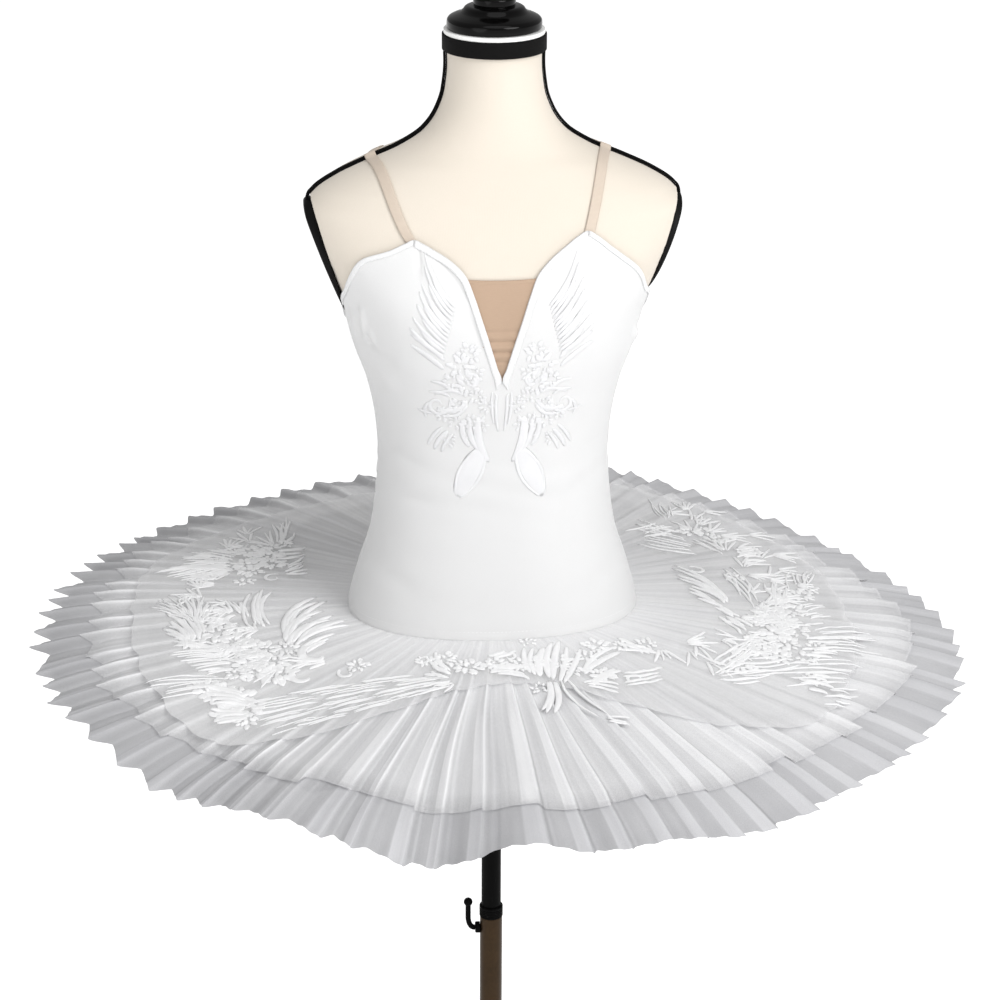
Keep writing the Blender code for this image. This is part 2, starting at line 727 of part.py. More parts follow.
def modesty_panel():
    """The sheer insert behind the V, tucked under the bodice on both sides."""
    below = surface_of("form_body")
    heights = np.linspace(1.2120, MODESTY_TOP, 7)
    edge_x, edge_z = [x for x, _ in FRONT_EDGE], [z for _, z in FRONT_EDGE]
    grid = []
    for k, z in enumerate(heights):
        half = float(np.interp(z, edge_z[: PEAK + 1], edge_x[: PEAK + 1])) + MODESTY_TUCK
        line = []
        for share in (-1.0, -0.6, -0.2, 0.2, 0.6, 1.0):
            dip = MODESTY_DIP * (1 - share * share) if k == len(heights) - 1 else 0.0
            line.append(on_front(half * share, float(z) - dip, SKIN_GAP))
        grid.append(line)
    seated_wall("modesty_panel", grid, below, level_out, SEAM_GAP, MODESTY_THICK, "nude")


def straps():
    """Elastic straps over the shoulders, from the front peaks to the back's upper edge."""
    below = surface_of("form_body", "shoulder_piping_left", "shoulder_piping_right")
    hub = Vector((0, 0, STRAP_HUB_Z))

    def outward(place):
        return Vector((0, place[1], place[2] - hub.z)).normalized()

    turns = [STRAP_FRONT_TURN, 34, 45, 57, 67, 74, 80, 85, 90, 95, 100, 108, 120, 134, 150, 168, 186,
             200, STRAP_BACK_TURN]
    for side, sign in SIDES.items():
        grid = []
        for half in (-0.5, 0.5):
            line = []
            for turn in turns:
                lean = (min(turn, 90) - STRAP_FRONT_TURN) / (90 - STRAP_FRONT_TURN)
                fall = max(turn - 90, 0) / (STRAP_BACK_TURN - 90)
                middle = STRAP_FRONT_X + (STRAP_CREST_X - STRAP_FRONT_X) * lean
                middle += (STRAP_BACK_X - STRAP_CREST_X) * fall
                way = (0.0, -math.cos(math.radians(turn)), math.sin(math.radians(turn)))
                root = (sign * (middle + half * STRAP_WIDE), 0.0, STRAP_HUB_Z)
                line.append(surface_from(root, way, SKIN_GAP))
            grid.append(line)
        seated_wall(f"strap_{side}", grid, below, outward, SEAM_GAP, STRAP_THICK, "strap")


# ---------------------------------------------------------------- the skirt
def polar(degrees):
    """The angle about Z, from +X, of an angle from the front centre."""
    return math.radians(degrees) - math.pi / 2


def hip_radius(phi):
    """Distance from the axis to where the tulle is sewn on, outside the briefs."""
    reach = 0.0
    for aside in (-0.044, -0.015, 0.015, 0.044):
        way = Vector((math.cos(phi + aside), math.sin(phi + aside), 0))
        for z in (HIP_SEAM - 0.012, HIP_SEAM - 0.006, HIP_SEAM - 0.0015):
            hit = hip_surface.ray_cast(Vector((0, 0, z)) + way * 0.3, -way)[0]
            if hit:
                reach = max(reach, hit.xy.length)
    return reach + HIP_GAP


def rim_radius(phi):
    """Radius of the longest tulle's tips."""
    waves = sum(
        w["size"] * math.cos(w["count"] * (phi - math.radians(w["crest"])))
        for w in RIM_RADIUS_WAVES
    )
    return RIM_RADIUS + waves


def lift(phi, share):
    """Height above the mean level: slow waves that grow with the share, swells and sags near the rim."""
    waves = sum(
        w["size"] * math.cos(w["count"] * (phi - math.radians(w["crest"])))
        for w in RIM_HEIGHT_WAVES
    )
    sags = sum(
        s["rise"] * math.exp(-(((math.degrees(phi) - s["place"] + 180) % 360 - 180) / s["wide"]) ** 2)
        for s in RIM_SAGS
    )
    return waves * share + sags * share**3


HIP_GAP = 0.0006
STACK_TOP = HIP_SEAM - 0.0034


def share_of(phi, radius):
    """How far a radius lies from the hip, 0, to the rim, 1."""
    hip = hip_radius(phi)
    return (radius - hip) / (rim_radius(phi) - hip)


def profile(share, column):
    """The skirt's fall or its pleats' height at a share of the way out, by straight runs."""
    return float(np.interp(share, [r["share"] for r in SKIRT_PROFILE],
                           [r[column] for r in SKIRT_PROFILE]))


def middle_height(phi, share):
    """Height of the tulle half way up its pleats."""
    return STACK_TOP - profile(share, "fall") + lift(phi, share)


def pleat_columns():
    """For each column of the pleated tulle: its direction, its place in the pleat's height and its hem.

    Each pleat has a ridge, a valley just past it and a point half way up the next face."""
    rng = np.random.default_rng(SEED)
    step = 2 * math.pi / PLEATS
    ridges = [(k + PLEAT_UNEVEN * rng.uniform(-1, 1)) * step for k in range(PLEATS)]
    tall = rng.uniform(0.78, 1.0, PLEATS)
    reach = rng.uniform(0.70, 1.05, PLEATS)
    columns = []
    for k in range(PLEATS):
        here = ridges[k]
        after = ridges[(k + 1) % PLEATS] + (2 * math.pi if k == PLEATS - 1 else 0)
        wide = after - here
        columns.append(dict(phi=here, height=0.5 * tall[k], notch=1 - reach[k]))
        columns.append(dict(phi=here + PLEAT_STEEP * wide, height=-0.5 * tall[k], notch=1.0))
        face = (tall[(k + 1) % PLEATS] - tall[k]) / 4
        columns.append(dict(phi=here + 0.66 * wide, height=0.02 + face, notch=0.62))
    return columns, ridges


def pleated_layer(name, columns, hem_short, drop, sags, shares):
    """A ring of pleated tulle. Its rows stand at shares of the way out, and its last row is the hem."""
    grids = []
    for down in (0.0, SHEET):
        grid = []
        for i in range(len(shares) + 1):
            line = []
            for column in columns:
                phi = column["phi"]
                if i < len(shares):
                    share = shares[i]
                    radius = hip_radius(phi)
                    radius += share * (rim_radius(phi) - radius)
                else:
                    radius = rim_radius(phi) - hem_short - TIP_REACH * column["notch"]
                    share = share_of(phi, radius)
                z = middle_height(phi, share) + profile(share, "pleat") * column["height"] - drop
                z -= profile(share, "sag") if sags else 0.0
                line.append((radius * math.cos(phi), radius * math.sin(phi), z - down))
            grid.append(line)
        grids.append(grid)
    return wall(name, grids[0], grids[1], "tulle", ring=True)


def support_layer():
    """A shorter gathered ring of tulle that holds the pleated layers up."""
    grids = []
    columns = [2 * math.pi * k / (2 * SUPPORT_WAVES) for k in range(2 * SUPPORT_WAVES)]
    deepest = SHEET + LAYER_GAP
    for down in (0.0, SHEET):
        grid = []
        for reach in (0.0, 0.45, 1.0):
            line = []
            for k, phi in enumerate(columns):
                hip = hip_radius(phi)
                radius = hip + reach * (SUPPORT_RADIUS - hip)
                share = share_of(phi, radius)
                under = profile(share, "pleat") / 2 + deepest + LAYER_GAP + SHEET
                under += profile(share, "sag")
                wave = 0.0004 + SUPPORT_WAVE_HEIGHT * reach * (1 + math.cos(math.pi * k)) / 2
                z = middle_height(phi, share) - under - wave
                line.append((radius * math.cos(phi), radius * math.sin(phi), z - down))
            grid.append(line)
        grids.append(grid)
    wall("tulle_support", grids[0], grids[1], "tulle", ring=True)


def overlay_height(phi, radius):
    """Height of the underside of the sheer overlay, which lies on the pleats' ridges."""
    share = share_of(phi, radius)
    return middle_height(phi, share) + profile(share, "pleat") / 2 + LAYER_GAP


def overlay(ridges):
    """The sheer shaped layer that carries the appliques."""
    grid = []
    for row in range(3):
        line = []
        for phi in ridges:
            degrees = abs((math.degrees(phi) + 90 + 180) % 360 - 180)
            hip = hip_radius(phi)
            edge = share_of(phi, float(overlay_edge_at(degrees)))
            middle = SKIRT_PROFILE[1]["share"] if edge > 0.5 else edge / 2
            radius = hip + (0.0, middle, edge)[row] * (rim_radius(phi) - hip)
            z = overlay_height(phi, radius)
            line.append((radius * math.cos(phi), radius * math.sin(phi), z))
        grid.append(line)
    seated_wall("overlay", grid, surface_of("tulle_upper"), up, SEAM_GAP, OVERLAY_THICK, "tulle",
                ring=True)


# ---------------------------------------------------------------- feathered appliques
def on_overlay(degrees, radius):
    """The point of the overlay's upper side at an angle from the front centre."""
    phi = polar(degrees)
    z = overlay_height(phi, radius) + OVERLAY_THICK
    return (radius * math.cos(phi), radius * math.sin(phi), z)


def feather_wall(name, place, lines, below, outward):
    """An applique: a flat inside, and feathers raised along every second line of points."""
    rows = len(lines[0])
    grid, thick = [], []
    for i in range(rows):
        swell = math.sin(math.pi * (i + 0.6) / (rows + 0.2))
        grid.append([place(*line[i]) for line in lines])
        thick.append([
            FEATHER_BED + (FEATHER_RISE * swell if k % 2 else 0.0) for k in range(len(lines))
        ])
    return seated_wall(name, grid, below, outward, SEAM_GAP + 0.0001, thick, "lace")


def skirt_wings():
    """A wing of feathers on each side of the overlay, swept from the front to the back."""
    inner_at = smooth(WING, "angle", "inner")
    spine_at = smooth(WING, "angle", "spine")
    tips_at = smooth(WING, "angle", "tips")
    start, end = WING[0]["angle"], WING[-1]["angle"]
    for side, sign in SIDES.items():
        lines = []
        count = 2 * WING_FEATHERS + 1
        for k in range(count):
            degrees = start + (end - start) * k / (count - 1)
            inner, spine = float(inner_at(degrees)), float(spine_at(degrees))
            tips = float(tips_at(degrees)) - (0 if k % 2 else WING_NOTCH)
            line = []
            for part in (0.0, 0.34, 0.66, 1.0):
                radius = inner + (spine - inner) * min(1, part / 0.34)
                if part > 0.34:
                    radius = spine + (tips - spine) * (part - 0.34) / 0.66
                sweep = WING_SWEEP * part * (1 - (degrees - start) / (end - start) * 0.6)
                line.append((sign * (degrees + sweep), radius))
            lines.append(line)
        feather_wall(f"applique_skirt_{side}", on_overlay, lines, surface_of("overlay"), up)


def skirt_crest():
    """The motif at the skirt's front centre, between the two wings."""
    lines = []
    count = 2 * CREST_FEATHERS + 1
    for k in range(count):
        degrees = CREST_ANGLE * (2 * k / (count - 1) - 1)
        middle = 1 - abs(degrees) / CREST_ANGLE
        inner = 0.124 + 0.014 * (1 - middle)
        tips = 0.156 + 0.026 * middle + (0.006 if k % 2 else 0)
        lines.append([(degrees * (1 + 0.10 * part), inner + (tips - inner) * part)
                      for part in (0.0, 0.5, 1.0)])
    feather_wall("applique_skirt_front", on_overlay, lines, surface_of("overlay"), up)


def bodice_wings():
    """A fan of feathers on each side of the V, from below its point up to the strap."""
    root_x, root_z = BODICE_FAN_ROOT
    edge = FRONT_EDGE[: PEAK + 1]
    edge_x, edge_z = [x for x, _ in edge], [z for _, z in edge]
    below = surface_of("bodice_front")

    def place(x, z):
        return on_front(x, z, BODICE_OUTSIDE)

    def clear(x, z):
        """Keeps a point off the binding and off the middle line."""
        least = float(np.interp(z, edge_z, edge_x)) + NECK_BINDING_WIDE * 1.25 if z > edge_z[0] - 0.012 else 0.0
        return max(x, least, 0.0022)

    for side, sign in SIDES.items():
        lines = []
        for k in range(2 * len(BODICE_FAN) - 1):
            first, second = BODICE_FAN[k // 2], BODICE_FAN[(k + 1) // 2]
            direction = math.radians((first["direction"] + second["direction"]) / 2)
            long = (first["length"] + second["length"]) / 2
            if k % 2:
                long -= 0.020
            line = []
            for part in (0.0, 0.34, 0.68, 1.0):
                reach = BODICE_FAN_HEART * (1 - part) + long * part
                x = root_x + reach * math.cos(direction)
                z = root_z + reach * math.sin(direction)
                line.append((sign * clear(x, z), z))
            lines.append(line)
        # The feathers' quills are the even lines of the fan.
        lines = [lines[0], *lines, lines[-1]]
        first, last = lines[0], lines[-1]
        lines[0] = [(x - sign * 0.0006, z + 0.0006) for x, z in first]
        lines[-1] = [(x - sign * 0.0006, z - 0.0006) for x, z in last]
        feather_wall(f"applique_bodice_{side}", place, lines, below, level_out)


# ---------------------------------------------------------------- the briefs
def briefs():
    """Front and back panels with leg openings, and a gusset that passes beside the pole."""
    seam = 0.12
    front_end = math.degrees(angle_of(GUSSET_HALF, BRIEFS_LEG_LOW, SKIN_GAP))

    def leg(degrees):
        share = (min(degrees, 180 - degrees) - front_end) / (90 - front_end)
        share = min(1.0, max(0.0, share))
        return BRIEFS_LEG_LOW + (BRIEFS_LEG_HIGH - BRIEFS_LEG_LOW) * share**0.8

    steps = [0, front_end / 2, front_end, 24, 36, 50, 64, 78, 90 - seam]
    front = [-a for a in reversed(steps[1:])] + steps
    below = surface_of("form_body")
    panel("briefs_front", front, lambda a: leg(abs(a)), lambda a: BRIEFS_TOP, 4,
          SKIN_GAP, below, CLOTH, "satin")
    back = [180 - a for a in reversed(steps)]
    back += [360 - a for a in reversed(back[:-1])]
    panel("briefs_back", back, lambda a: leg(180 - abs(a - 180)), lambda a: BRIEFS_TOP, 4,
          SKIN_GAP, below, CLOTH, "satin")

    hub_z = 0.870

    def outward(place):
        return Vector((0, place[1], place[2] - hub_z)).normalized()

    turns = [24.0, 32, 40, 46, 54, 66, 80, 94, 108, 120, 130, 136, 144, 151, 157.5]
    grid = []
    for half in (-1.0, 0.0, 1.0):
        line = []
        for turn in turns:
            aside = GUSSET_SHIFT * math.sin(math.pi * (turn - 24) / 133.5) ** 1.5
            root = (aside + half * GUSSET_HALF, 0.0, hub_z)
            way = (0.0, -math.cos(math.radians(turn)), -math.sin(math.radians(turn)))
            line.append(surface_from(root, way, SKIN_GAP))
        grid.append(line)
    seated_wall("briefs_gusset", grid, below, outward, 2 * SEAM_GAP, GUSSET_THICK, "satin")


# ---------------------------------------------------------------- the stand
def stand():
    """A round base with a hub, the outer tube, its collar, the pole and the socket under the form."""
    turned(
        "stand_base",
        [(0, HUB_TOP), (0.0165, HUB_TOP), (0.0180, HUB_TOP - 0.0015), (0.0190, 0.0240),
         (0.0260, 0.0185), (0.0500, 0.0150), (BASE_RADIUS - 0.020, BASE_EDGE + 0.0020),
         (BASE_RADIUS - 0.003, BASE_EDGE), (BASE_RADIUS, BASE_EDGE - 0.003),
         (BASE_RADIUS, 0.0015), (BASE_RADIUS - 0.0015, 0.0), (0, 0.0)],
        "black",
        steps=34,
    )
    turned(
        "stand_tube",
        [(POLE_BORE, TUBE_TOP), (TUBE_RADIUS, TUBE_TOP),
         (TUBE_RADIUS, HUB_TOP + SEAM_GAP), (POLE_BORE, HUB_TOP + SEAM_GAP)],
        "bronze",
        steps=24,
    )
    foot = TUBE_TOP + SEAM_GAP
    top = foot + COLLAR_TALL
    turned(
        "stand_collar",
        [(POLE_BORE, top), (COLLAR_RADIUS - 0.0012, top), (COLLAR_RADIUS, top - 0.0012),
         (COLLAR_RADIUS, foot + 0.0006), (COLLAR_RADIUS - 0.0006, foot), (POLE_BORE, foot)],
        "black",
        steps=24,
    )
    pole_top = FORM_BOTTOM - 0.0006
    turned(
        "pole",
        [(0, pole_top), (POLE_RADIUS - 0.0006, pole_top), (POLE_RADIUS, pole_top - 0.0006),
         (POLE_RADIUS, POLE_FOOT), (0, POLE_FOOT)],
        "black",
        steps=24,
    )
    flange_top = FORM_BOTTOM - SEAM_GAP
    flange = flange_top - 0.0032
    turned(
        "form_socket",
        [(POLE_BORE, flange_top), (SOCKET_FLANGE, flange_top), (SOCKET_FLANGE, flange),
         (SOCKET_RADIUS, flange - 0.0012), (SOCKET_RADIUS, SOCKET_FOOT), (POLE_BORE, SOCKET_FOOT)],
        "black",
        steps=24,
    )


def clamp():
    """The clamp's boss on the tube, and its bent lever with a ball at the end."""
    face = TUBE_RADIUS + 0.0052
    bpy.ops.mesh.primitive_cylinder_add(
        vertices=20,
        radius=0.0062,
        depth=face - TUBE_RADIUS - SEAM_GAP,
        location=(-(face + TUBE_RADIUS + SEAM_GAP) / 2, 0, LEVER_HEIGHT),
        rotation=(0, math.pi / 2, 0),
    )
    adopt(bpy.context.object, "clamp_boss", "black")

    bend_wide, bend_tall = 0.0066, 0.0130
    start_x = -(face + SEAM_GAP)
    arm_x = start_x - LEVER_ROD - 0.0045
    route = [(start_x, 0, LEVER_HEIGHT)]
    for k in range(7):
        turn = math.radians(15 * k)
        route.append((
            arm_x + bend_wide * (1 - math.sin(turn)), 0, LEVER_HEIGHT + bend_tall * (1 - math.cos(turn))
        ))
    route.append((arm_x, 0, LEVER_HEIGHT + 0.0300))
    rod = solid_of(tube("clamp_lever", route, LEVER_ROD, "black"))
    bpy.ops.mesh.primitive_uv_sphere_add(
        segments=14, ring_count=8, radius=LEVER_BALL,
        location=(arm_x, 0, LEVER_HEIGHT + 0.0315),
    )
    ball = bpy.context.object
    for home in list(ball.users_collection):
        home.objects.unlink(ball)
    cutters.objects.link(ball)
    ball.hide_render = True
    ball.display_type = "WIRE"
    join = rod.modifiers.new("ball", "BOOLEAN")
    join.operation = "UNION"
    join.object = ball


def adopt(obj, name, colour):
    """Moves a primitive into the tutu's collection under its own name and material."""
    mesh = obj.data
    place = obj.matrix_world.copy()
    bpy.data.objects.remove(obj)
    made = link(name, mesh, colour)
    made.matrix_world = place
    return made


# ---------------------------------------------------------------- all of it
for old in list(bpy.data.objects):
    bpy.data.objects.remove(old)
tutu = bpy.data.collections.new("ballet_tutu_on_form")
cutters = bpy.data.collections.new("cutters")
for group in (tutu, cutters):
    bpy.context.scene.collection.children.link(group)

form_body()
arm_plates()
shoulder_piping()
neck_fittings()
modesty_panel()
bodice()
neck_bindings()
edge_bindings()
straps()
briefs()
hip_surface = surface_of("briefs_front", "briefs_back")
pleat_list, ridge_list = pleat_columns()
pleated_layer("tulle_upper", pleat_list, UPPER_HEM, 0.0, False, (0.0, 0.45))
pleated_layer("tulle_main", pleat_list, 0.0, SHEET + LAYER_GAP, True, (0.0, 0.45))
support_layer()
overlay(ridge_list)
skirt_wings()
skirt_crest()
bodice_wings()
stand()
clamp()
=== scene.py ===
import math

import bmesh
import bpy
import numpy as np
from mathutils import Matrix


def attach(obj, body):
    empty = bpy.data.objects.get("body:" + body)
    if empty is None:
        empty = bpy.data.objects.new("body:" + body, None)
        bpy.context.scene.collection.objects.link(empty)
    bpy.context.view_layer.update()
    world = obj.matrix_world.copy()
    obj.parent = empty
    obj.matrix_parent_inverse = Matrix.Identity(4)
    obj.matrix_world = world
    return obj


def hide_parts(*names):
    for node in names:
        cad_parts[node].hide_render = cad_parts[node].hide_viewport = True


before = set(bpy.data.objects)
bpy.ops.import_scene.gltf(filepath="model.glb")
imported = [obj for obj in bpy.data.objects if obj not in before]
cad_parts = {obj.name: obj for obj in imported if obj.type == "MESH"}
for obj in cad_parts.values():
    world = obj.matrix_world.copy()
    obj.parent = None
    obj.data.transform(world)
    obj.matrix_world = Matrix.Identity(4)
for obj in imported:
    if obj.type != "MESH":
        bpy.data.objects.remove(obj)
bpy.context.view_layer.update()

# ---------------------------------------------------------------- sizes, in metres
SKIN_GAP = 0.0005  # between the form and what lies straight on it
CLOTH = 0.0014  # a bodice or briefs wall
BODICE_OUTSIDE = 0.0033  # from the form to the bodice's outer side
TRIM_GAP = 0.0003  # between the bodice and what is sewn on it
NECK_BINDING_WIDE, EDGE_BINDING_WIDE, BINDING_WALL = 0.0066, 0.0046, 0.0010
STRAP_WIDE, TAPE_WALL, INSERT_WALL = 0.0104, 0.0012, 0.0008
PIPING_RADIUS, PIPING_LIFT = 0.0013, 0.0024
STRAND_SINK = 0.0003  # of an embroidered strand's underside below the cloth
FORM_BOTTOM, NECK_TOP = 0.800, 1.5385
HIP_SEAM, BODICE_FOOT = 0.9445, 0.9420
LEG_LOW, LEG_HIGH, BRIEFS_TOP = 0.838, 0.886, 0.9436
GUSSET_HALF, POLE_BOW = 0.029, 0.054  # half width, how far the gusset bows aside at the pole
SIDES = {"left": -1.0, "right": 1.0}  # as the front is looked at

# The dress form's level sections: height, half width, front depth, back depth, squareness.
TORSO = np.array([
    (0.800, 0.1240, 0.0820, 0.0900, 2.2), (0.806, 0.1350, 0.0910, 0.1000, 2.2),
    (0.830, 0.1460, 0.1000, 0.1120, 2.2), (0.880, 0.1480, 0.1030, 0.1170, 2.2),
    (0.942, 0.1463, 0.1010, 0.1130, 2.2), (0.985, 0.1363, 0.0940, 0.1020, 2.2),
    (1.033, 0.1215, 0.0870, 0.0880, 2.2), (1.080, 0.1155, 0.0830, 0.0780, 2.2),
    (1.115, 0.1138, 0.0825, 0.0750, 2.2), (1.150, 0.1162, 0.0850, 0.0780, 2.2),
    (1.190, 0.1240, 0.0920, 0.0860, 2.2), (1.230, 0.1378, 0.0990, 0.0950, 2.2),
    (1.270, 0.1482, 0.1010, 0.1010, 2.2), (1.310, 0.1660, 0.0980, 0.1030, 2.2),
    (1.345, 0.1830, 0.0900, 0.1000, 2.2), (1.370, 0.1880, 0.0820, 0.0950, 2.2),
    (1.388, 0.1758, 0.0750, 0.0900, 2.2), (1.402, 0.1552, 0.0690, 0.0850, 2.2),
    (1.416, 0.1258, 0.0630, 0.0780, 2.2), (1.430, 0.0932, 0.0570, 0.0700, 2.1),
    (1.446, 0.0690, 0.0525, 0.0630, 2.1), (1.464, 0.0560, 0.0490, 0.0570, 2.0),
    (1.485, 0.0487, 0.0470, 0.0520, 2.0), (1.512, 0.0460, 0.0468, 0.0475, 2.0),
    (1.5385, 0.0470, 0.0470, 0.0470, 2.0),
])
BUST_DEPTH, BUST_ANGLE, BUST_SPREAD = 0.012, math.radians(38), math.radians(26)
BUST_HEIGHT, BUST_REACH = 1.280, 0.050
ARMHOLE_TOP, ARMHOLE_FOOT = (0.1795, 1.378), (0.1480, 1.272)  # x, z

# Upper edge of the bodice: the front by distance from the middle, the back by angle.
FRONT_EDGE = np.array([
    (0.0000, 1.2160), (0.0095, 1.2490), (0.0190, 1.2800), (0.0270, 1.3050), (0.0340, 1.3230),
    (0.0470, 1.3380), (0.0620, 1.3495), (0.0760, 1.3590), (0.0840, 1.3625), (0.0925, 1.3580),
    (0.1080, 1.3450), (0.1240, 1.3290), (0.1380, 1.3100), (0.1470, 1.2900),
])
PEAK = 8  # the row where the strap is sewn on
BACK_EDGE = np.array([
    (90, 1.2760), (106, 1.2560), (126, 1.2520), (144, 1.2600), (152, 1.2600), (180, 1.2440),
])

# The skirt: number of pleats, share of a pleat that its steep return takes, how far ridges stray.
PLEATS, PLEAT_STEEP, PLEAT_UNEVEN, SEED = 72, 0.20, 0.26, 11
# Rim, how far its points reach out, how much shorter the top layer is, and how far its points reach.
RIM_RADIUS, TIP_REACH, UPPER_HEM, UPPER_TIP = 0.4810, 0.0220, 0.052, 0.014
# Angle about the axis (0 right, 90 back), height of the pleats, depth of the hem's points.
FULLNESS = np.array([
    (-180, 0.90, 1.00), (-135, 0.92, 1.00), (-90, 0.92, 0.85), (-45, 0.85, 0.80),
    (-18, 0.78, 0.74), (0, 0.66, 0.42), (45, 0.58, 0.36), (90, 0.58, 0.38),
    (135, 0.66, 0.50), (160, 0.82, 0.90), (180, 0.90, 1.00),
])
# Slow waves of the rim: count round the skirt, size, place of the crest in degrees.
HEIGHT_WAVES = [(1, 0.0100, 128), (2, 0.0035, 48), (3, 0.0068, 60), (4, 0.0082, -5)]
RADIUS_WAVES = [(2, 0.0098, 128), (3, 0.0073, 14), (4, 0.0053, 7), (5, 0.0081, 55)]
# Where the rim swells up or hangs down: place in degrees, width, rise.
RIM_SAGS = [
    (-152, 9, 0.0125), (-140, 9, -0.0060), (-120, 9, 0.0110), (-101, 7, -0.0145),
    (-92, 7, 0.0210), (-75, 8, 0.0105), (-63, 8, -0.0065), (72, 8, 0.0090),
]
STACK_TOP = HIP_SEAM - 0.0034  # where the top layer leaves the hip
HIP_CLEAR = 0.0026  # from the form to the skirt's inner edge
SHEET, LAYER_GAP = 0.0021, 0.0006
SUPPORT_RADIUS, SUPPORT_WAVES = 0.380, 36
OVERLAY_EDGE = np.array([  # degrees from the front centre, radius
    (0, 0.192), (14, 0.208), (27, 0.262), (39, 0.340), (52, 0.388), (70, 0.380),
    (90, 0.372), (115, 0.386), (140, 0.392), (180, 0.372),
])
WING = np.array([  # degrees from the front centre: inner edge, spine, feather tips
    (22, 0.146, 0.166, 0.192), (36, 0.160, 0.194, 0.262), (50, 0.174, 0.226, 0.366),
    (66, 0.186, 0.252, 0.362), (84, 0.196, 0.272, 0.352), (104, 0.226, 0.300, 0.366),
    (126, 0.268, 0.328, 0.376), (150, 0.318, 0.348, 0.374),
])


# ---------------------------------------------------------------- curves and surfaces
def smooth(x, y):
    """A curve through (x, y) made of cubics, with flat tangents at turning points so it never overshoots."""
    x, y = np.asarray(x, float), np.asarray(y, float)
    step = np.diff(x)
    rate = np.diff(y) / step
    w1, w2 = 2 * step[1:] + step[:-1], step[1:] + 2 * step[:-1]
    same = rate[:-1] * rate[1:] > 0
    mean = (w1 + w2) / (w1 / np.where(same, rate[:-1], 1) + w2 / np.where(same, rate[1:], 1))
    slope = np.concatenate([rate[:1], np.where(same, mean, 0), rate[-1:]])

    def value(at):
        at = np.clip(at, x[0], x[-1])
        i = np.clip(np.searchsorted(x, at) - 1, 0, len(step) - 1)
        t = (at - x[i]) / step[i]
        return (y[i] * (1 + 2 * t) * (1 - t) ** 2 + slope[i] * step[i] * t * (1 - t) ** 2
                + y[i + 1] * t * t * (3 - 2 * t) + slope[i + 1] * step[i] * t * t * (t - 1))

    return value


half_width_at, front_at, back_at, squareness_at = (smooth(TORSO[:, 0], TORSO[:, k]) for k in (1, 2, 3, 4))


def ease(x, low, high):
    """0 below low, 1 above high, and a smooth rise between them."""
    t = np.clip((x - low) / (high - low), 0, 1)
    return t * t * (3 - 2 * t)


def bell(x, width):
    """exp(-(x / width)^2)."""
    return np.exp(-((x / width) ** 2))


def torso(alpha, z, out=0.0):
    """Level superellipses: x = (w + o) sgn(s) |s|^(2/n), y = -(d + o) sgn(c) |c|^(2/n), s and c of alpha."""
    alpha = (np.asarray(alpha, float) + math.pi) % (2 * math.pi) - math.pi
    power = 2 / squareness_at(z)
    s, c = np.sin(alpha), np.cos(alpha)
    bust = BUST_DEPTH * bell(np.abs(alpha) - BUST_ANGLE, BUST_SPREAD) * bell(z - BUST_HEIGHT, BUST_REACH)
    depth = np.where(c > 0, front_at(z) + bust, back_at(z))
    x = (half_width_at(z) + out) * np.sign(s) * np.abs(s) ** power
    y = -(depth + out) * np.sign(c) * np.abs(c) ** power
    return np.stack(np.broadcast_arrays(x, y, z), -1)


def angle_of(x, z, out):
    """The alpha at which the front surface passes a distance x from the middle."""
    share = np.minimum(1.0, np.abs(x) / (half_width_at(z) + out))
    return np.sign(x) * np.arcsin(share ** (squareness_at(z) / 2))


def on_front(x, z, out):
    """The point of the front surface, moved out, at distance x from the middle and height z."""
    return torso(angle_of(x, z, out), z, out)


def ray_out(hub, way, out):
    """Where rays from inside the form leave its surface, found by halving the interval 40 times."""
    near, far = np.zeros(way.shape[:-1]), np.full(way.shape[:-1], 0.40)
    for _ in range(40):
        middle = (near + far) / 2
        p = hub + way * middle[..., None]
        z = np.clip(p[..., 2], FORM_BOTTOM, NECK_TOP)
        wide = half_width_at(z) + out
        depth = np.where(p[..., 1] < 0, front_at(z), back_at(z)) + out
        turn = np.arctan2(np.abs(p[..., 0]) / wide, np.abs(p[..., 1]) / depth)
        swell = BUST_DEPTH * bell(turn - BUST_ANGLE, BUST_SPREAD) * bell(z - BUST_HEIGHT, BUST_REACH)
        depth = depth + np.where(p[..., 1] < 0, swell, 0)
        n = squareness_at(z)
        within = (np.abs(p[..., 0]) / wide) ** n + (np.abs(p[..., 1]) / depth) ** n < 1
        within &= p[..., 2] > FORM_BOTTOM - out
        near, far = np.where(within, middle, near), np.where(within, far, middle)
    return hub + way * near[..., None]


def lengths_along(points, axis):
    """Distance run along one axis of a stack of grids, averaged over the others, from 0."""
    gaps = np.linalg.norm(np.diff(points, axis=axis), axis=-1)
    others = tuple(k for k in range(gaps.ndim) if k != axis)
    return np.concatenate([[0.0], np.cumsum(gaps.mean(axis=others))])


